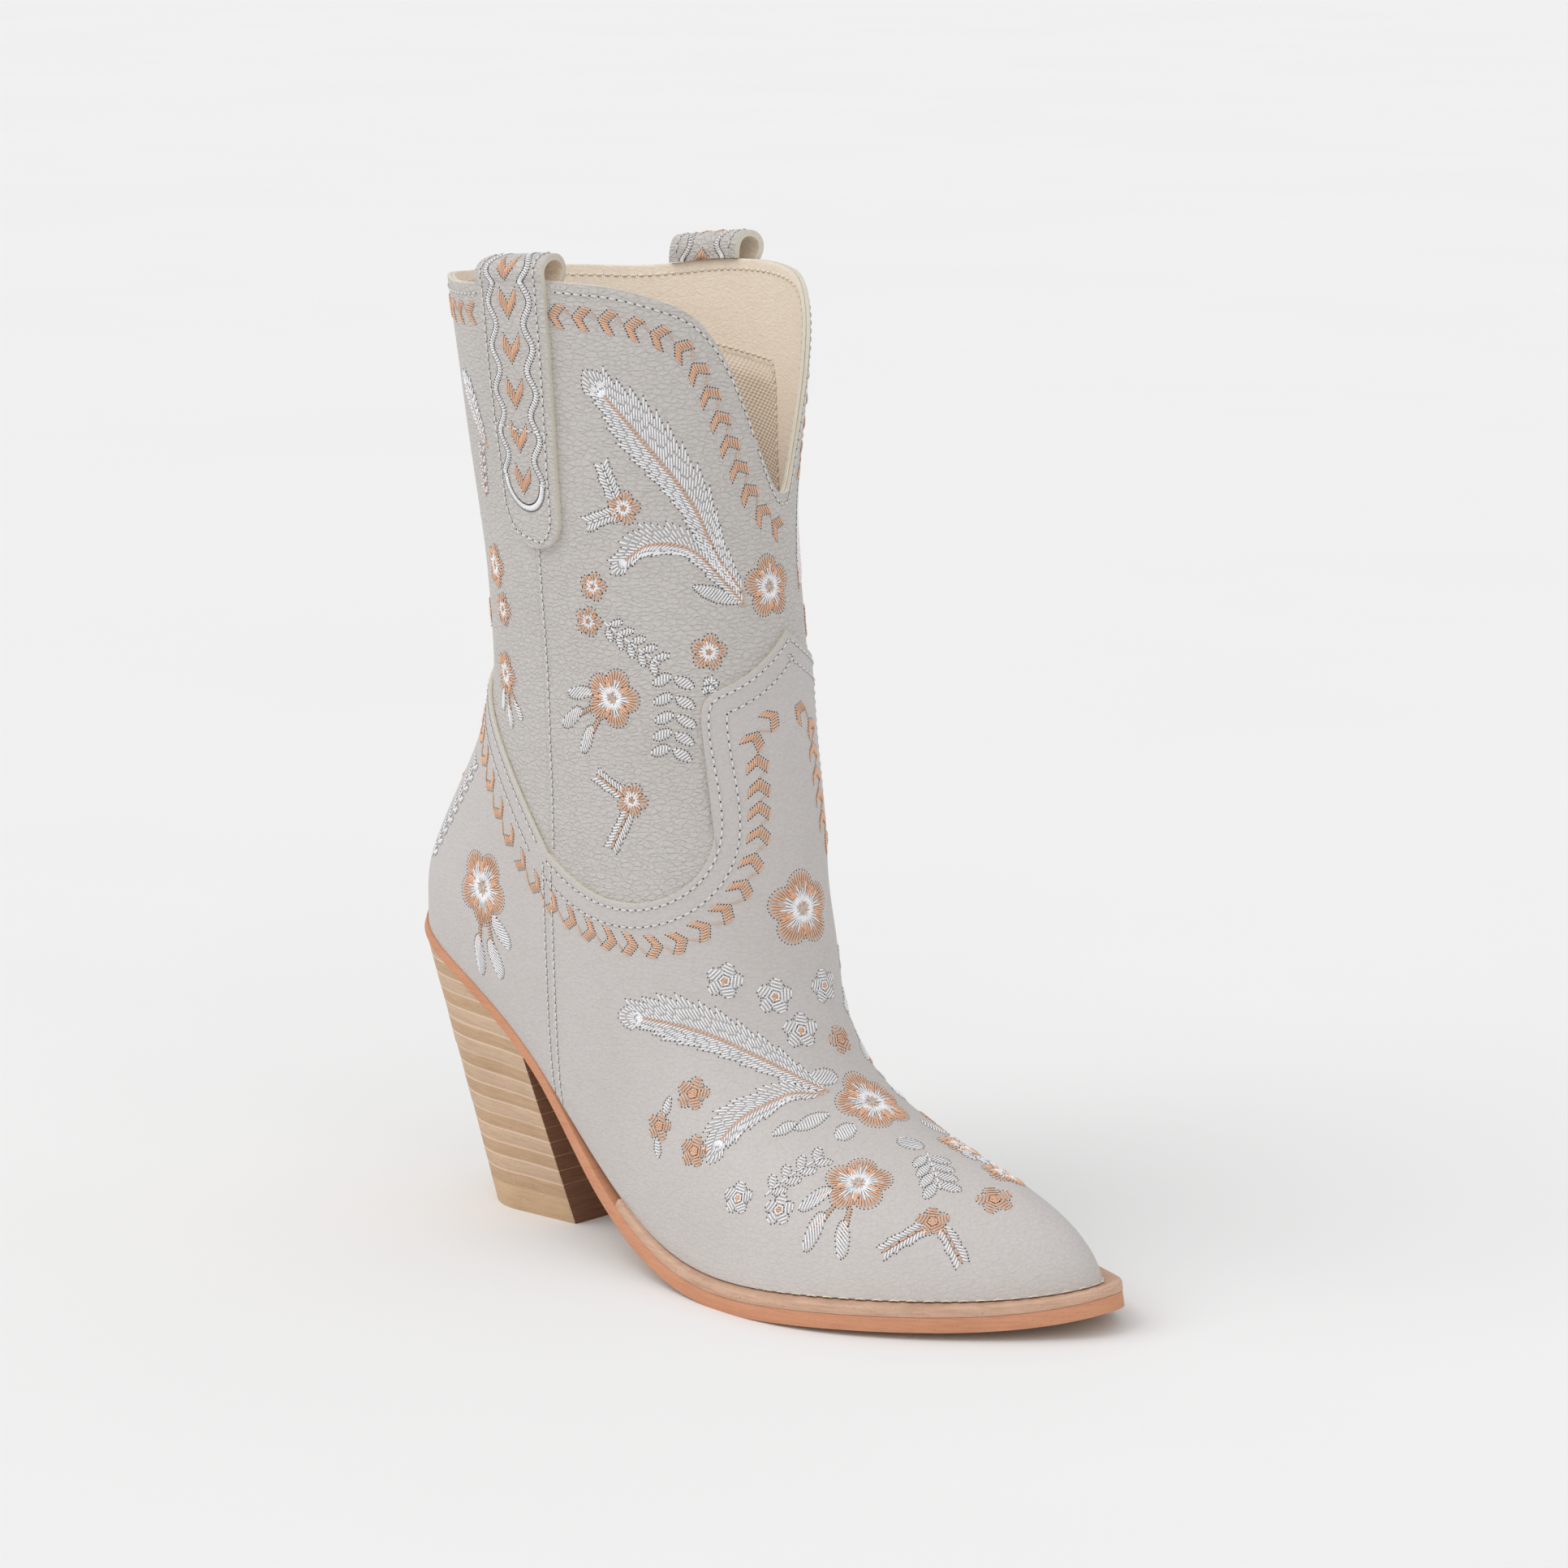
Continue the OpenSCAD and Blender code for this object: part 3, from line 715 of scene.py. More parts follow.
def build_linings():
    inner = -LEATHER_T - LINING_T
    leathers = [FACING, FACING, CUT_EDGE]
    facing = panel("facing_leather", band_place(facing_low, topline), inner, -LEATHER_T,
                   300, 24, leathers, loop=True)
    bevel(facing, 0.3)
    finish_piece(facing, "lining_leather", "leather_facing")
    cloth = panel("twill_lining", band_place(lining_join, facing_low), inner, -LEATHER_T,
                  300, 40, [TWILL, TWILL, TWILL], loop=True, uvs=True)
    finish_piece(cloth, "lining_textile", "textile_lining")
    foot = panel("foot_lining_leather", band_place(lambda angle: FOOT_LINING_START + 0 * angle, lining_join),
                 inner, -LEATHER_T, 160, 60, leathers, loop=True)
    finish_piece(foot, "lining_leather", "foot_lining")


def strap_rows():
    """Places along a strap: close together round the tab, then even up to the loop's end."""
    turn = np.radians(np.linspace(0, 90, int(16 * DETAIL)))
    tab = STRAP_ROUND * (1 - np.cos(turn)) / STRAP_LENGTH
    straight = np.linspace(STRAP_ROUND / STRAP_LENGTH, 1, int(50 * DETAIL))[1:]
    loop = np.linspace(1, 2, int(50 * DETAIL))[1:]
    return np.concatenate([tab, straight, loop])


def build_strap(side, side_name):
    rows = strap_rows()
    nu = int(24 * DETAIL)
    across, run = np.meshgrid(side * np.linspace(-1, 1, nu + 1), rows)
    low = strap_point(side, across, run, 0)
    middle = strap_point(side, across, run, STRAP_BACKING_T)
    high = strap_point(side, across, run, STRAP_BACKING_T + STRAP_T)
    for name, node, front, back, materials, slot in [
        ("strap_leather_", "pull_strap_", high, middle, [UPPER, UPPER_BACK, CUT_EDGE], "upper_leather"),
        ("strap_lining_", "strap_backing_", middle, low, [BACKING, BACKING, CUT_EDGE], "lining_leather"),
    ]:
        points, faces, kind = slab_mesh(front, back, nu, len(rows) - 1)
        piece = make_object(name + side_name, points, faces, materials, kind)
        bevel(piece, 0.25)
        finish_piece(piece, slot, node + side_name)


# Sole and heel

WIDTH_STEPS = 8


def sole_plate(name, rows, out, low, high, materials, edge):
    """Sole layer that spans the boot's width; out, low and high are lengths or rules for them."""
    rows = int(rows * DETAIL)
    angle = mix(0.6, 179.4, np.arange(rows + 1) / rows)

    def at_angle(value):
        return value(angle) if callable(value) else np.full(len(angle), value)

    def grid(height):
        inner_edge, outer_edge = (
            sole_point(side * angle, at_angle(out), at_angle(height))[:, None] for side in (-1, 1))
        return mix(inner_edge, outer_edge, np.linspace(0, 1, WIDTH_STEPS + 1)[None, :, None])

    points, faces, kind = slab_mesh(grid(high), grid(low), WIDTH_STEPS, rows)
    piece = make_object(name, points, faces, materials, kind)
    bevel(piece, edge)
    return piece


def build_sole():
    outsole = sole_plate("outsole_leather", 240, sole_out, sole_bottom, sole_top,
                         [SOLE_EDGE, SOLE_FACE, SOLE_EDGE], 0.6)
    finish_piece(outsole, "sole_leather", "outsole")
    sock = sole_plate("sock_leather", 160, -3.8, SOCK_LOW, SOCK_LOW + SOCK_T,
                      [FACING, FACING, CUT_EDGE], 0.3)
    finish_piece(sock, "lining_leather", "sock_liner")

    rows = int(300 * DETAIL)
    angle = mix(WELT_START, 360 - WELT_START, np.arange(rows + 1) / rows)[:, None]
    f = np.linspace(0, 1, WIDTH_STEPS + 1)[None]
    out = mix(WELT_IN, sole_out(angle) + 0.2, f)
    groove = -0.35 * np.exp(-((f - 0.62) / 0.08) ** 2)
    top = sole_point(angle + 0 * f, out, groove + 0 * angle)
    bottom = sole_point(angle + 0 * f, out, np.full_like(out, -WELT_T))
    points, faces, kind = slab_mesh(top, bottom, WIDTH_STEPS, rows)
    welt = make_object("welt_strip", points, faces, [WELT, WELT, WELT], kind)
    bevel(welt, 0.45)
    finish_piece(welt, "welt_leather", "welt")


def heel_foot(f):
    """Ground outline of the heel, from the back (0) to the front corner (1)."""
    bend, corner, narrowing = 0.7, 20, 1.5
    turn = np.minimum(f / bend, 1) * math.pi / 2
    run = np.maximum(0, (f - bend) / (1 - bend))
    back = LIFT_FRONT - TOP_LIFT_L
    x = back + corner * (1 - np.cos(turn)) + (TOP_LIFT_L - corner) * run
    return x, TOP_LIFT_W / 2 * np.sin(turn) - narrowing * run


def heel_block():
    """The whole tapered heel as one bmesh, in millimetres."""
    rows = int(72 * DETAIL)
    f = np.maximum(0.01, np.arange(rows + 1) / rows)
    x, y = heel_foot(f)
    ring = []
    for side in (-1, 1):
        top = sole_point(side * f * SEAT_ANGLE, SEAT_OUT - 0.4, -SEAT_T)
        low = np.stack([x, -side * y, 0 * x], -1)
        ring.append((low, top))
    points, faces, _ = slab_mesh(
        np.stack([ring[0][1], ring[1][1]], 1), np.stack([ring[0][0], ring[1][0]], 1), 1, rows)
    block = bmesh.new()
    corners = [block.verts.new(p) for p in points]
    for face in faces:
        block.faces.new([corners[i] for i in face])
    bmesh.ops.remove_doubles(block, verts=block.verts, dist=0.02)
    return block


def heel_layer(name, block, low, high, grow, material, slot, node):
    """One layer of the heel between two heights, swollen or shrunk a little in plan."""
    layer = block.copy()
    for height, keep_above in ((low, True), (high, False)):
        geometry = layer.verts[:] + layer.edges[:] + layer.faces[:]
        cut = bmesh.ops.bisect_plane(
            layer, geom=geometry, plane_co=(0, 0, height), plane_no=(0, 0, 1),
            clear_inner=keep_above, clear_outer=not keep_above, dist=0.001)
        rim = [e for e in cut["geom_cut"] if isinstance(e, bmesh.types.BMEdge)]
        if rim:
            bmesh.ops.contextual_create(layer, geom=rim)
    centre = Vector((0, 0, 0))
    for vert in layer.verts:
        centre += vert.co / len(layer.verts)
    for vert in layer.verts:
        off = Vector((vert.co.x - centre.x, vert.co.y - centre.y, 0))
        vert.co += off.normalized() * grow
        vert.co *= MM
    bmesh.ops.recalc_face_normals(layer, faces=layer.faces)
    mesh = bpy.data.meshes.new(name)
    for face in layer.faces:
        face.smooth = True
        # Faces that look forward take the breast's colour, darker leather with painted shade.
        face.material_index = 1 if face.normal.x > 0.6 and abs(face.normal.z) < 0.7 else 0
    layer.to_mesh(mesh)
    layer.free()
    mesh.materials.append(material)
    mesh.materials.append(BREAST_AND_SHADE)
    piece = bpy.data.objects.new(name, mesh)
    bpy.context.scene.collection.objects.link(piece)
    bevel(piece, 0.28)
    return finish_piece(piece, slot, node)


def build_heel():
    block = heel_block()
    above_seat = 20
    rng = np.random.default_rng(5)
    heel_layer("heel_top_lift", block, -1, TOP_LIFT_T, 0.15, TOP_LIFT, "top_lift_rubber", "top_lift")
    for k in range(LIFT_COUNT):
        low = TOP_LIFT_T + k * LIFT_RISE
        high = low + LIFT_RISE + (above_seat if k == LIFT_COUNT - 1 else 0)
        heel_layer(f"stack_lift_{k + 1:02d}", block, low, high, rng.uniform(-0.12, 0.08),
                   LIFT if k % 2 else LIFT_DEEP, "stacked_leather", f"heel_lift_{k + 1:02d}")
    block.free()


def dress_hidden_nodes():
    finishes = {
        "toe_puff": plain_grain("toe puff board", (150, 128, 98), (112, 92, 66), 500, 0.85),
        "heel_stiffener": plain_grain("heel stiffener board", (146, 122, 92), (106, 84, 60), 480, 0.85),
        "vamp_interlining": plain_grain("interlining cloth", (214, 202, 180), (170, 156, 132), 1300, 0.9),
        "insole_board": plain_grain("insole board", (158, 124, 88), (118, 88, 58), 600, 0.85),
        "steel_shank": plain_grain("shank steel", (150, 152, 156), (110, 112, 116), 700, 0.35, 0.9),
        "cork_filler": plain_grain("cork", (168, 124, 80), (96, 64, 38), 260, 0.9),
        "heel_nails": plain_grain("nail steel", (146, 148, 152), (104, 106, 110), 900, 0.35, 0.9),
        "heel_screw": plain_grain("screw steel", (156, 156, 150), (108, 108, 104), 900, 0.35, 0.9),
    }
    for node, material in finishes.items():
        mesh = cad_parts[node].data
        mesh.materials.clear()
        mesh.materials.append(material)


# Sewing: every stitch is a small closed strand that follows the leather.
# A strand runs from one place to another; a motif is drawn flat, in millimetres
# to the right and up, and is then laid on the surface around its own place.

THREAD_GAP = 0.86
THREAD_WIDTH = 0.58
RING_AT = np.array([0.0, 0.14, 0.5, 0.86, 1.0])
RING_HEIGHT = np.array([-0.12, 0.16, 0.30, 0.16, -0.12])
HOLE_RADIUS = 0.3
HOLE_GAP = 0.18
INNER_HOLE = 0.55
STITCH_HOLE_RADIUS = 0.36
INNER_SCALE = 171 / 189


def directions(angle, level):
    """Unit directions to the right and upwards on the surface at a place."""
    across, up = tangents(angle, level)
    right = unit(across)
    return right, np.cross(unit(np.cross(across, up)), right)


def walk(angle, level, x, y):
    """Place reached from a place by going x mm to the right and y mm up."""
    x, y = np.asarray(x, float), np.asarray(y, float)
    start = boot_point(angle, level)
    right, upward = directions(angle, level)
    a = np.full(x.shape, float(angle))
    t = np.full(x.shape, float(level))
    for _ in range(4):
        off = boot_point(a, t) - start
        miss_x = x - off @ right
        miss_y = y - off @ upward
        across, up = tangents(a, t)
        ax, ux, ay, uy = across @ right, up @ right, across @ upward, up @ upward
        det = ax * uy - ux * ay
        a = a + np.clip((uy * miss_x - ux * miss_y) / det, -25, 25)
        t = np.clip(t + (ax * miss_y - ay * miss_x) / det, 0.02, 10.4)
    return a, t


class Sewing:
    """Collects strands on one leather layer, thread by thread, and makes their meshes."""

    def __init__(self, point):
        self.point = point
        self.strands = {}
        self.holes = []

    def add(self, thread, start, end, width=THREAD_WIDTH, holes=(True, True)):
        """start and end are arrays of places, n by 2."""
        start = np.atleast_2d(start)
        end = np.atleast_2d(end)
        rows = np.concatenate([start, end, np.full((len(start), 1), width)], 1)
        self.strands.setdefault(thread, []).append(rows)
        flat = 0 * end[:, 0]
        length = np.linalg.norm(self.point(*end.T, flat) - self.point(*start.T, flat), axis=1)
        beyond = (end - start) * np.minimum(0.2, HOLE_GAP / length)[:, None]
        if holes[0]:
            self.pierce(start - beyond, HOLE_RADIUS * holes[0])
        if holes[1]:
            self.pierce(end + beyond, HOLE_RADIUS * holes[1])

    def pierce(self, places, radius):
        self.holes.append(np.concatenate([places, np.full((len(places), 1), radius)], 1))

    def motif(self, place, strokes, turn=0.0, flip=False):
        """Lays flat strokes (thread, x0, y0, x1, y1, hole at start, hole at end) round a place."""
        angle, level = place
        by_thread = {}
        for stroke in strokes:
            by_thread.setdefault((stroke[0], stroke[5], stroke[6]), []).append(stroke[1:5])
        c, s = math.cos(math.radians(turn)), math.sin(math.radians(turn))
        for (thread, first, last), flat in by_thread.items():
            flat = np.array(flat, float)
            x = flat[:, 0::2] * c - flat[:, 1::2] * s
            y = flat[:, 0::2] * s + flat[:, 1::2] * c
            if flip:
                x = -x
            a, t = walk(angle, level, x, y)
            self.add(thread, np.stack([a[:, 0], t[:, 0]], 1), np.stack([a[:, 1], t[:, 1]], 1),
                     holes=(first, last))

    def build(self, name, threads):
        """Makes one mesh for each thread and one of dark lozenges, painted shade in the needle holes."""
        for thread, parts in self.strands.items():
            rows = np.concatenate(parts)
            material, slot = threads[thread]
            piece = make_object(f"{name}_{thread}", *strand_mesh(self.point, rows), [material])
            finish_piece(piece, slot)
        if self.holes:
            piece = make_object(f"{name}_needle_hole_shade",
                                *hole_mesh(self.point, np.concatenate(self.holes)), [HOLE_SHADE])
            finish_piece(piece, "upper_leather")


def strand_mesh(point, rows):
    """Closed spindles, each with three square rings and two pointed ends."""
    count = len(rows)
    f = RING_AT[None, :]
    a = mix(rows[:, 0:1], rows[:, 2:3], f)
    t = mix(rows[:, 1:2], rows[:, 3:4], f)
    height = np.broadcast_to(RING_HEIGHT, a.shape)
    middle = point(a, t, height)
    normal = unit(point(a, t, height + 0.5) - middle)
    along = unit(middle[:, -1:] - middle[:, :1])
    side = unit(np.cross(normal, along)) * (rows[:, 4, None, None] / 2)
    ring = np.stack([middle + side, middle + normal * 0.2, middle - side, middle - normal * 0.2], 2)
    points = np.concatenate([
        middle[:, 0:1], ring[:, 1:4].reshape(count, 12, 3), middle[:, 4:5]], 1)
    faces = []
    for k in range(4):
        n = (k + 1) % 4
        faces.append([0, 1 + n, 1 + k, 1 + k])
        faces.append([9 + k, 9 + n, 13, 13])
        for ring_start in (1, 5):
            faces.append([ring_start + k, ring_start + n, ring_start + 4 + n, ring_start + 4 + k])
    faces = np.array(faces)
    every = (faces[None] + np.arange(count)[:, None, None] * 14).reshape(-1, 4)
    return points.reshape(-1, 3), every


def hole_mesh(point, places):
    """Small dark lozenges of painted shade, standing for the needle holes, which sit in the leather's face.
    """
    a, t = places[:, 0], places[:, 1]
    height = np.zeros(len(a))
    middle = point(a, t, height)
    normal = unit(point(a, t, height + 0.5) - middle)
    side = unit(np.cross(normal, np.array([0.3, 0.4, 0.86])))
    other = np.cross(normal, side)
    r = places[:, 2, None]
    points = np.stack([
        middle + side * r, middle + other * r, middle - side * r, middle - other * r,
        middle + normal * 0.07, middle - normal * 0.15], 1)
    faces = np.array([[k, (k + 1) % 4, 4, 4] for k in range(4)]
                     + [[(k + 1) % 4, k, 5, 5] for k in range(4)])
    every = (faces[None] + np.arange(len(a))[:, None, None] * 6).reshape(-1, 4)
    return points.reshape(-1, 3), every


RNG = np.random.default_rng(11)


def wobble(amount):
    return RNG.uniform(-amount, amount)


def satin(thread, x0, y0, x1, y1, half_width, slant=0.35, fullness=0.7, gap=THREAD_GAP):
    """Leaf filled with strands across its axis."""
    length = math.hypot(x1 - x0, y1 - y0)
    dx, dy = (x1 - x0) / length, (y1 - y0) / length
    count = max(3, int(length / gap))
    strokes = []
    for k in range(count):
        f = (k + 0.5) / count
        w = half_width * math.sin(math.pi * f) ** fullness + wobble(0.12)
        cx, cy = x0 + dx * length * f, y0 + dy * length * f
        strokes.append((thread, cx + dy * w - dx * w * slant, cy - dx * w - dy * w * slant,
                        cx - dy * w + dx * w * slant, cy + dx * w + dy * w * slant, True, True))
    return strokes


PETAL_GAP = 1.05


PETAL_SWING = 118
COPPER_PARTS = (0.36, 0.62, 0.48)


def flower(radius):
    """Five round petals with a copper rim of fanned strands and silver towards the centre."""
    strokes = []
    reach = math.radians(PETAL_SWING)
    lobe = 0.43 * radius
    count = max(7, int(2 * reach * lobe / PETAL_GAP))
    for k in range(5):
        way = math.radians(90 + 72 * k)
        cx, cy = 0.57 * radius * math.cos(way), 0.57 * radius * math.sin(way)
        for j in range(count):
            swing = way + mix(-reach, reach, j / (count - 1))
            rx, ry = cx + lobe * math.cos(swing), cy + lobe * math.sin(swing)
            bx, by = 0.22 * cx, 0.22 * cy
            split = COPPER_PARTS[j % 3] + wobble(0.07)
            deep = 0.93 + wobble(0.05)
            mx, my = mix(rx, bx, split), mix(ry, by, split)
            strokes.append(("copper", rx, ry, mx, my, True, False))
            if j % 2 == 0:
                near = split - 0.08
                strokes.append(("silver", mix(rx, bx, near), mix(ry, by, near),
                                mix(rx, bx, deep), mix(ry, by, deep), False, False))
    for k in range(5):
        way = math.radians(126 + 72 * k)
        x, y = radius * math.cos(way), radius * math.sin(way)
        strokes.append(("copper", 0.05 * x, 0.05 * y, 0.24 * x, 0.24 * y, False, False))
    return strokes


def star(radius, petal="silver", heart="copper"):
    """Small flower of five pointed satin petals round a satin heart."""
    strokes = []
    for k in range(5):
        way = math.radians(90 + 72 * k)
        x, y = radius * math.cos(way), radius * math.sin(way)
        strokes += satin(petal, 0.12 * x, 0.12 * y, x, y, 0.4 * radius, 0.15, 0.6)
    return strokes + satin(heart, 0, -0.26 * radius, 0, 0.26 * radius, 0.2 * radius, 0.1, 0.3, 0.5)


def stem(thread, length, steps):
    """Strands end to end that go up from the place."""
    step = length / steps
    return [(thread, 0, step * k, 0, step * (k + 1), True, True) for k in range(steps)]


def sprig(length, leaves, leaf_length=4.2, half_width=1.0, spine="silver"):
    """Stem that goes up from the place, with pairs of small satin leaves."""
    strokes = stem(spine, length, max(2, int(length / 2.4)))
    for k in range(leaves):
        y = length * (k + 0.6) / leaves
        for side in (-1, 1):
            strokes += satin("silver", side * 0.5, y - 0.6, side * leaf_length * 0.8,
                             y + leaf_length * 0.6, half_width)
    return strokes


def bloom_with_stem(radius, leaf_turn=-44, spread=29):
    """Flower with three silver leaves on copper stems, which point down and are turned together."""
    strokes = flower(radius)
    for swing, far, width in ((-1, 1.8, 0.25), (0, 2.35, 0.27), (1, 2.3, 0.24)):
        way = math.radians(leaf_turn + swing * spread)
        x, y = radius * math.sin(way), -radius * math.cos(way)
        near = far - 1
        strokes += satin("silver", x * near, y * near, x * far, y * far, width * radius, 0.9, 0.6, 0.95)
        strokes += satin("copper", x * 0.85, y * 0.85, x * (far - 0.5), y * (far - 0.5), 0.6, 0.5, 0.2)
    return strokes


PLUME_HALF_WIDTH = 2.3


def plume(length, spine="silver"):
    """Straight band that goes up from the place, with dense barbs on both sides of its spine."""
    strokes = stem(spine, length, 5)
    count = int(length / PETAL_GAP)
    for k in range(count):
        y = length * k / count
        for side in (-1, 1):
            reach = PLUME_HALF_WIDTH + wobble(0.35)
            strokes.append(("silver", side * 0.35, y, side * reach, y + 0.8 * reach, True, True))
    return strokes


CHEVRON_ARM = 3.4
CHEVRON_DEPTH = 2.7
CHEVRON_THICK = 3.0


def chevron():
    """V of copper satin strands whose tip points up."""
    strokes = []
    count = int(2 * CHEVRON_ARM / 0.62)
    for k in range(count):
        s = mix(-1, 1, (k + 0.5) / count)
        x = s * CHEVRON_ARM
        top = (CHEVRON_THICK / 2) - abs(s) * CHEVRON_DEPTH
        strokes.append(("copper", x + 0.3, top, x - 0.3, top - CHEVRON_THICK, True, True))
    return strokes


def through(rows, f):
    """Catmull-Rom curve through rows."""
    first = np.clip(f.astype(int), 0, len(rows) - 2)
    g = (f - first)[:, None]
    padded = np.concatenate([[2 * rows[0] - rows[1]], rows, [2 * rows[-1] - rows[-2]]])
    p0, p1, p2, p3 = (padded[first + k] for k in range(4))
    return 0.5 * (2 * p1 + (p2 - p0) * g + (2 * p0 - 5 * p1 + 4 * p2 - p3) * g ** 2
                  + (3 * p1 - p0 - 3 * p2 + p3) * g ** 3)


def even_places(points, gap):
    """Places on a smooth line, a fixed gap in millimetres apart, and the line's length."""
    fine = through(np.array(points, float), np.linspace(0, len(points) - 1, 400))
    spots = boot_point(fine[:, 0], fine[:, 1])
    run = np.concatenate([[0], np.cumsum(np.linalg.norm(np.diff(spots, axis=0), axis=1))])
    count = max(2, int(run[-1] / gap) + 1)
    at = np.linspace(0, run[-1], count)
    places = np.stack([np.interp(at, run, fine[:, k]) for k in (0, 1)], 1)
    return places, run[-1]


def heading(places, k):
    """Direction of a row of places at one of them: degrees from straight up, turning left."""
    low, high = max(k - 1, 0), min(k + 1, len(places) - 1)
    ahead = boot_point(*places[high]) - boot_point(*places[low])
    right, upward = directions(*places[k])
    return math.degrees(math.atan2(-(ahead @ right), ahead @ upward))


def mirrored(places):
    places = np.array(places, float)
    places[:, 0] = 360 - places[:, 0] * INNER_SCALE
    return places


BARB_GAP = 1.2
NOTCH_LENGTH = 6.5
NOTCH_DEPTH = 0.26
SHORT_SIDE = 0.68
BARB_LEAN = 1.3
FAN_LENGTH = 0.85
FAN_SPREAD = 38


def barb(x, y, shift):
    """Line of stitches from the midrib out to a point; shift moves the places of its joints."""
    size = math.hypot(x, y)
    joints = {1: [], 2: [0.54 + shift], 3: [0.36 + shift, 0.69 + shift]}[min(3, 1 + int(size / 3.6))]
    ends = [0.06] + joints + [1.0]
    if size < 1:
        return []
    return [("silver", x * low, y * low, x * high, y * high, False, 1 if high == 1 else INNER_HOLE)
            for low, high in zip(ends, ends[1:])]


def feather(sewing, points, half_width, flip=False):
    """Feather from its round tip to its base: copper midrib, silver barbs in stepped stitches."""
    places, length = even_places(mirrored(points) if flip else points, BARB_GAP)
    fan = FAN_LENGTH * half_width
    first = int(fan / length * len(places))
    wide_side = 1 if flip else -1
    for k in range(first, len(places)):
        f = (k - first) / (len(places) - 1 - first)
        width = 1.12 * half_width * mix(0.5, 1, float(smooth(0, 0.35, f))) * (1 - f) ** 0.4
        shift = 0.07 * (k % 3 - 1)
        strokes = []
        for side in (-1, 1):
            notch = (f * length / NOTCH_LENGTH + (0 if side < 0 else 0.5)) % 1
            reach = width * (1 - NOTCH_DEPTH * notch) * (1 if side == wide_side else SHORT_SIDE)
            strokes += barb(side * reach, -reach * BARB_LEAN, shift)
        if k == first:
            for part in np.linspace(-1, 1, int(fan * 1.3)):
                way = math.radians(FAN_SPREAD * part)
                reach = fan * (1.22 - 0.45 * abs(part))
                strokes += barb(reach * math.sin(way), -reach * math.cos(way), wobble(0.07))
        strokes.append(("copper", -0.75, 0.35, 0.75, -0.35, False, False))
        sewing.motif(places[k], strokes, heading(places, k))


def chevron_row(sewing, points):
    """Chevrons with their tips towards the row's start, each linked to the next by a thin thread."""
    places = np.array(points, float)
    tips, arms = [], []
    for k, place in enumerate(places):
        turn = heading(places, k) + 180
        sewing.motif(place, chevron(), turn)
        c, s = math.cos(math.radians(turn)), math.sin(math.radians(turn))
        x, y = CHEVRON_ARM, -CHEVRON_DEPTH
        tips.append(walk(*place, -s * CHEVRON_THICK / 2, c * CHEVRON_THICK / 2))
        arms.append(walk(*place, x * c - y * s, x * s + y * c))
    sewing.add("copper", np.array(arms[:-1]), np.array(tips[1:]), 0.26, holes=(False, False))


def edge_row(first, last, distance, gap=7.5):
    """Places an even gap apart on a line beside the topline, between two angles."""
    angles = np.linspace(first, last, 120)
    line = beside(np.stack([angles, topline(angles)], 1), distance)
    return even_places(line, gap)[0]


def running_stitch(sewing, thread, places, pitch=2.7, width=0.78, gap=0.3, hole=STITCH_HOLE_RADIUS):
    """Machine stitches along a line of places, with a hole between each two."""
    spots = sewing.point(places[:, 0], places[:, 1], np.zeros(len(places)))
    run = np.concatenate([[0], np.cumsum(np.linalg.norm(np.diff(spots, axis=0), axis=1))])
    count = max(1, int(run[-1] / pitch))
    ends = np.linspace(0, run[-1], count + 1)
    trim = gap * pitch / 2

    def at(distance):
        return np.stack([np.interp(distance, run, places[:, k]) for k in (0, 1)], 1)

    sewing.add(thread, at(ends[:-1] + trim), at(ends[1:] - trim), width, holes=(False, False))
    if hole:
        sewing.pierce(at(ends), hole)


def beside(places, distance):
    """A line of places moved sideways on the surface, to the left of its direction."""
    out = []
    for k, (angle, level) in enumerate(places):
        turn = math.radians(heading(places, k))
        a, t = walk(angle, level, -math.cos(turn) * distance, -math.sin(turn) * distance)
        out.append((float(a), float(t)))
    return np.array(out)


# Where the embroidery goes: places are (angle, level) on the outer side

THREADS = {
    "copper": (COPPER, "thread_copper"),
    "silver": (SILVER, "thread_silver"),
    "grey": (GREY, "thread_grey"),
    "cream": (CREAM, "thread_grey"),
}


def vamp_face(angle, level, height):
    return skin(angle, level, LEATHER_T + height)


def both_sides(sewing, motifs):
    """Lays motifs on the outer side and their mirror images on the inner side.

    Each motif is angle, level, strokes and, if it doesn't stand upright, its turn in degrees.
    """
    for angle, level, strokes, *turn in motifs:
        sewing.motif((angle, level), strokes, *turn)
        sewing.motif((360 - angle * INNER_SCALE, level), strokes, *turn, flip=True)


def below_topline(angle, distance):
    """Level that lies a distance in millimetres below the topline."""
    top = topline(angle)
    _, up = tangents(angle, top)
    return top - distance / np.linalg.norm(up, axis=-1)


def small_leaf(*line_and_width, fullness=0.8):
    return satin("silver", *line_and_width, fullness=fullness)


def leaf_pair():
    return satin("silver", -0.4, 0.8, -6.2, -2.0, 1.6) + satin("silver", 0.4, 0.8, 6.2, -2.0, 1.6)


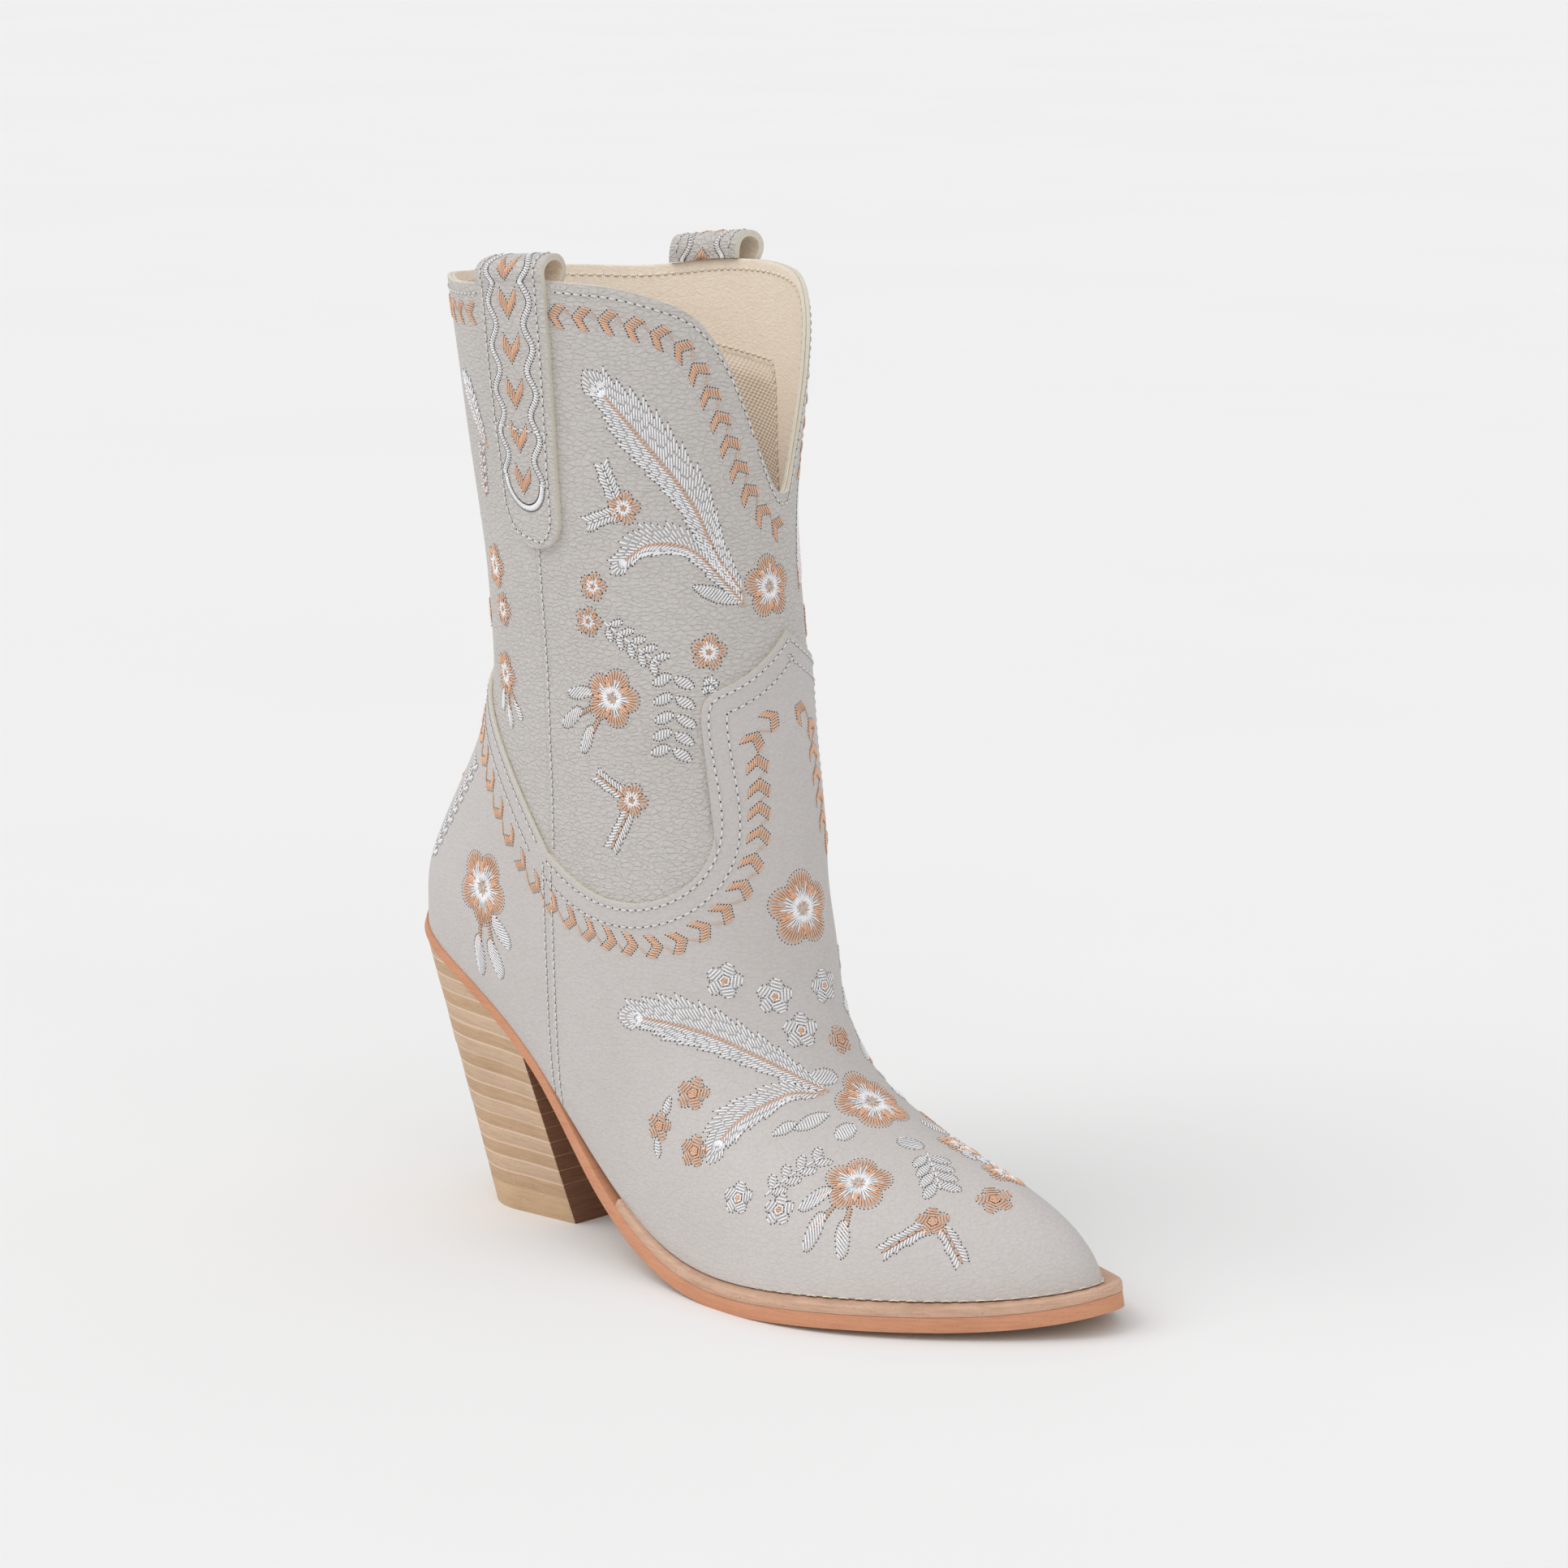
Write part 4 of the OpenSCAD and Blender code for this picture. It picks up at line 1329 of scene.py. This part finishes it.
def embroider_shaft():
    sewing = Sewing(skin)
    for first, last, distance in ((112, 193, -10), (256, 203, 10), (14, 71, -9), (346, 300, 9)):
        chevron_row(sewing, edge_row(first, last, distance))

    big = [(120, 9.64), (124, 9.57), (136, 9.36), (151, 9.08), (159, 8.82), (168, 8.64)]
    small = [(121, 8.66), (134, 8.83), (149, 8.84), (160, 8.70), (168, 8.58)]
    back_feather = [(57, 9.45), (61, 9.36), (66, 9.22), (70, 9.08)]
    for flip in (False, True):
        for places, half_width in ((big, 10.0), (small, 6.5), (back_feather, 5.5)):
            feather(sewing, places, half_width, flip)

    sewing.motif((182, 8.66), flower(9.5))
    both_sides(sewing, [
        (148, 8.66, small_leaf(0, 0, 15, -3.5, 2.2)),
        (127, 9.00, flower(5.0)),
        (124.5, 9.04, plume(11), 32),
        (124.5, 8.97, plume(10), 122),
        (112, 8.52, flower(4.4)),
        (108, 8.29, flower(4.6)),
        (114, 8.33, sprig(21, 5, 4.6, 1.1), -108),
        (151, 8.32, flower(5.4)),
        (151, 8.19, sprig(5, 2, 2.4), 180),
        (113, 7.84, bloom_with_stem(9.0)),
        (116, 7.10, flower(5.2)),
        (112.5, 7.10, plume(10, "copper"), 82),
        (114.5, 6.98, plume(13, "copper"), 176),
        (136.5, 8.12, leaf_pair(), 8),
        (136, 8.00, leaf_pair(), 8),
        (135.5, 7.88, leaf_pair(), 8),
        (134, 7.76, leaf_pair(), 8),
        (132.5, 7.64, leaf_pair(), 8),
        (61, 8.72, sprig(16, 5, 3.0, spine="copper"), 4),
        (60, 8.24, flower(6.8)),
        (63, 7.94, flower(5.2)),
        (59, 7.32, bloom_with_stem(7.0, 28)),
        (22, 9.20, flower(6.0)),
        (24, 8.62, bloom_with_stem(6.5, 20)),
        (20, 7.78, star(5.2)),
        (38, 7.62, star(4.8, "copper", "silver")),
    ])
    return sewing


def embroider_vamp():
    sewing = Sewing(vamp_face)
    row = [(175, 7.98), (165, 7.86), (164.5, 7.71), (164, 7.55), (163, 7.39), (162, 7.21),
           (158, 6.99), (153, 6.76), (146, 6.51), (138, 6.27), (130, 6.05), (122, 5.88),
           (114, 5.76), (107, 5.67), (100, 5.60), (93, 5.54), (86, 5.48), (79, 5.45), (72.5, 5.46)]
    chevron_row(sewing, row)
    inner_row = mirrored(row)
    inner_row[:, 0] -= 12 * smooth(150, 160, np.array(row)[:, 0])
    chevron_row(sewing, inner_row)
    back_row = [(66.5, 5.52), (60, 5.63), (53, 5.77), (46, 5.92), (38, 6.05), (30, 6.16), (22, 6.24),
                (13, 6.30)]
    chevron_row(sewing, back_row)
    chevron_row(sewing, mirrored(back_row))

    sewing.motif((178, 6.58), flower(11.5))
    both_sides(sewing, [
        (142, 5.80, star(5.6)),
        (159, 5.76, star(5.6)),
        (166, 5.42, star(5.6)),
    ])
    sewing.motif((185, 5.84), star(5.4))
    sewing.motif((186, 5.26), star(4.8, "copper"))
    sewing.motif((181, 4.44), flower(12.0))

    upper_feather = [(107, 4.72), (114, 4.98), (132, 5.12), (149, 4.98), (164, 4.66)]
    lower_feather = [(115, 3.02), (118, 3.36), (131, 4.00), (148, 4.52), (161, 4.62)]
    for flip in (False, True):
        feather(sewing, upper_feather, 9.5, flip)
        feather(sewing, lower_feather, 8.0, flip)
    both_sides(sewing, [
        (146, 4.06, small_leaf(6, 5, -3.5, -3.5, 2.3)),
        (137, 3.84, small_leaf(3.5, 3.5, -2.8, -2.8, 1.8)),
        (167, 4.86, small_leaf(0, -4, 0, 4, 3.0, fullness=0.5), 70),
        (155, 3.96, small_leaf(0, -4, 0, 4, 3.0, fullness=0.5), 130),
        (172, 3.70, small_leaf(0, -4, 0, 4, 3.0, fullness=0.5), 200),
        (119, 4.10, star(5.2, "copper")),
        (103, 3.26, star(4.6, "copper")),
        (103, 3.26, satin("silver", 0.6, 3.4, 0.9, 9.6, 1.3) + satin("silver", 0.4, -3.6, 2.6, -9.4, 1.3)),
        (109, 3.02, star(5.0, "copper")),
        (113, 2.26, star(5.0)),
        (120, 2.14, star(4.8)),
        (119, 2.40, sprig(19, 4, 4.6, 1.4), -38),
        (140, 2.86, bloom_with_stem(10.0, -35)),
        (147, 2.12, star(5.0, "copper")),
        (144.5, 2.00, plume(14, "copper"), 122),
        (148, 2.00, plume(12, "copper"), 208),
        (168, 2.48, star(5.6, "copper")),
        (172, 3.50, sprig(18, 4, 7.0, 1.7), 168),
    ])
    sewing.motif((190, 3.40), sprig(17, 4, 6.0, 1.5), 186)
    for place in ((200, 3.36), (193, 2.80)):
        sewing.motif(place, flower(7.0))
    both_sides(sewing, [
        (54, 3.96, bloom_with_stem(12.0, 50, -22)),
        (24, 2.60, sprig(42, 9, 3.8, 1.1), -12),
        (12, 4.60, star(5.2, "copper")),
    ])
    return sewing


def both_edges(half, d, end):
    """Line up one edge of a strap, round its end and back down the other edge."""
    return np.concatenate([np.stack([-half, d], 1)[::-1], end, np.stack([half, d], 1)])


def embroider_strap(side, side_name):
    """Copper chevrons down the strap inside a wavy silver outline; places are in millimetres."""
    loop = STRAP_LOOP[side]
    loop_length = np.linalg.norm(np.diff(loop, axis=0), axis=1).sum()

    def point(x, d, height):
        run = np.where(d <= STRAP_LENGTH, d / STRAP_LENGTH, 1 + (d - STRAP_LENGTH) / loop_length)
        half = strap_half_width(np.minimum(d, STRAP_LENGTH))
        return strap_point(side, side * x / half, run, STRAP_BACKING_T + STRAP_T + height)

    sewing = Sewing(point)
    first, spacing, arm, depth, thick = 16.0, 12.3, 3.2, 4.4, 4.2
    for tip in first + spacing * np.arange(7):
        for s in mix(-1, 1, (np.arange(11) + 0.5) / 11):
            top = tip + abs(s) * depth
            sewing.add("copper", [(s * arm, top)], [(s * arm + 0.3, top + thick)])
    turn = np.radians(np.linspace(-90, 90, 45))
    end = np.stack([7.4 * np.sin(turn), 20.0 - 8.0 * np.cos(turn)], 1)
    straight = np.arange(20.5, 97, 0.7)
    wave = 6.6 + 1.3 * np.cos((straight - first - 4.5) / spacing * 2 * math.pi)
    line = both_edges(wave, straight, end)
    ahead = unit(np.gradient(line, axis=0))
    across = np.stack([-ahead[:, 1], ahead[:, 0]], 1) * 0.85 + ahead * 0.2
    sewing.add("silver", line - across, line + across)

    edge = 2.6
    d = np.concatenate([np.linspace(edge, 12, 14), np.linspace(13, 90, 90)])
    half = np.maximum(strap_half_width(np.minimum(d, STRAP_LENGTH)) - edge, 0)
    running_stitch(sewing, "grey", both_edges(-half, d, np.zeros((0, 2))))
    running_stitch(sewing, "grey", np.array([(-10.6, 35.0), (0, 34.6), (10.6, 35.0)]))
    sewing.build(f"strap_embroidery_{side_name}", THREADS)


EDGE_STITCH_IN = 3.2


def sew_seams(shaft, vamp):
    """Machine stitching along the edges of the panels."""
    angles = np.linspace(-180, 180, 400)[:-1]
    around = np.stack([angles, below_topline(angles, EDGE_STITCH_IN)], 1)
    outer_strap, inner_strap = (angle_at(strap_x(side, 1), TOP_LEVEL) for side in (1, -1))
    under_strap = np.abs(fold(angles) - np.where(angles > 0, outer_strap, inner_strap)) <= 17
    for piece in np.split(around, np.flatnonzero(under_strap)):
        if len(piece) > 6:
            running_stitch(shaft, "grey", piece[1:])

    across, top = vamp_top(np.linspace(0.004, 0.996, 160))
    vamp_edge = np.stack([front_angle(across, top), top], 1)
    u = np.linspace(0.02, 0.98, 60)
    counter_edge = np.stack([back_angle(u, counter_top(u)), counter_top(u)], 1)
    for distance in (2.0, 7.2):
        for edge in (vamp_edge, counter_edge):
            running_stitch(vamp, "grey", beside(edge, -distance))

    for side in (1, -1):
        for sewing, distance, low, high in (
                (vamp, -1.9, 0.12, 5.8), (vamp, 1.9, 0.12, 5.8), (shaft, 1.9, 6.05, STRAP_END_LEVEL)):
            level = np.linspace(low, high, 60)
            seam = np.stack([side * angle_at(SEAM_X[side] + distance, level), level], 1)
            running_stitch(sewing, "grey", seam)


def sew_facing():
    """Cream stitches inside the leg: below the topline and along the facing's lower edge."""
    def inner_face(angle, level, height):
        return skin(angle, level, -LEATHER_T - LINING_T - height)

    sewing = Sewing(inner_face)
    angles = np.linspace(0, 360, 300)
    for level in (below_topline(angles, EDGE_STITCH_IN), facing_low(angles) + 0.035):
        running_stitch(sewing, "cream", np.stack([angles, level], 1), hole=0.2)
    sewing.build("facing_stitches", THREADS)


def sew_welt():
    """Long cream stitches in the welt's groove."""
    def welt_face(angle, out, height):
        return sole_point(angle, out, height + 0.3)

    sewing = Sewing(welt_face)
    angle = np.linspace(WELT_START + 3, 360 - WELT_START - 3, 300)
    out = mix(WELT_IN, sole_out(angle) + 0.2, 0.5)
    running_stitch(sewing, "cream", np.stack([angle, out], 1), pitch=5.0, width=1.3, gap=0.3, hole=0)
    sewing.build("welt_stitches", THREADS)


def build_sewing():
    shaft = embroider_shaft()
    vamp = embroider_vamp()
    sew_seams(shaft, vamp)
    shaft.build("shaft_embroidery", THREADS)
    vamp.build("vamp_embroidery", THREADS)
    for side, side_name in ((1, "outer"), (-1, "inner")):
        embroider_strap(side, side_name)
    sew_facing()
    sew_welt()


# Floor, light and camera

def build_floor():
    """Plain pale floor, wide enough to fill the view."""
    size = 14.0
    mesh = bpy.data.meshes.new("floor")
    corners = [(-size, -size, 0), (size, -size, 0), (size, size, 0), (-size, size, 0)]
    mesh.from_pydata(corners, [], [(0, 1, 2, 3)])
    shader = Shader("pale floor", (238, 238, 238), 0.75, 0.2)
    shader.blend(shader.ramp(shader.noise(3), 0.3, 0.7), (234, 234, 234), 0.5)
    mesh.materials.append(shader.done())
    floor = bpy.data.objects.new("floor", mesh)
    bpy.context.scene.collection.objects.link(floor)


def add_sun(name, way, spread, strength):
    """Soft light from one direction, the same all over the floor."""
    light = bpy.data.lights.new(name, "SUN")
    light.angle = math.radians(spread)
    light.energy = strength
    lamp = bpy.data.objects.new(name, light)
    lamp.rotation_euler = Vector(way).to_track_quat("-Z", "Y").to_euler()
    bpy.context.scene.collection.objects.link(lamp)


def build_lights():
    add_sun("key", (0.55, 0.75, -1.1), 50, 1.08)
    add_sun("fill", (-0.8, 0.5, -0.7), 70, 0.40)
    world = bpy.data.worlds.new("studio")
    bpy.context.scene.world = world
    world.use_nodes = True
    background = world.node_tree.nodes["Background"]
    background.inputs["Color"].default_value = (0.93, 0.93, 0.93, 1)
    background.inputs["Strength"].default_value = 0.76


def build_camera():
    azimuth = math.radians(44)
    elevation = math.radians(11.5)
    distance = 1.567
    target = Vector((0.0974, 0, 0.147))
    away = Vector((math.sin(azimuth) * math.cos(elevation),
                   -math.cos(azimuth) * math.cos(elevation), math.sin(elevation)))
    data = bpy.data.cameras.new("camera")
    data.sensor_width = 36
    data.lens = 120.3
    camera = bpy.data.objects.new("camera", data)
    camera.location = target + away * distance
    camera.rotation_euler = (-away).to_track_quat("-Z", "Y").to_euler()
    bpy.context.scene.collection.objects.link(camera)
    bpy.context.scene.camera = camera


build_upper()
build_linings()
for strap_side, strap_name in ((1, "outer"), (-1, "inner")):
    build_strap(strap_side, strap_name)
build_sole()
build_heel()
build_sewing()
dress_hidden_nodes()
build_floor()
build_lights()
build_camera()
bpy.context.scene.view_settings.view_transform = "Standard"
bpy.context.view_layer.update()
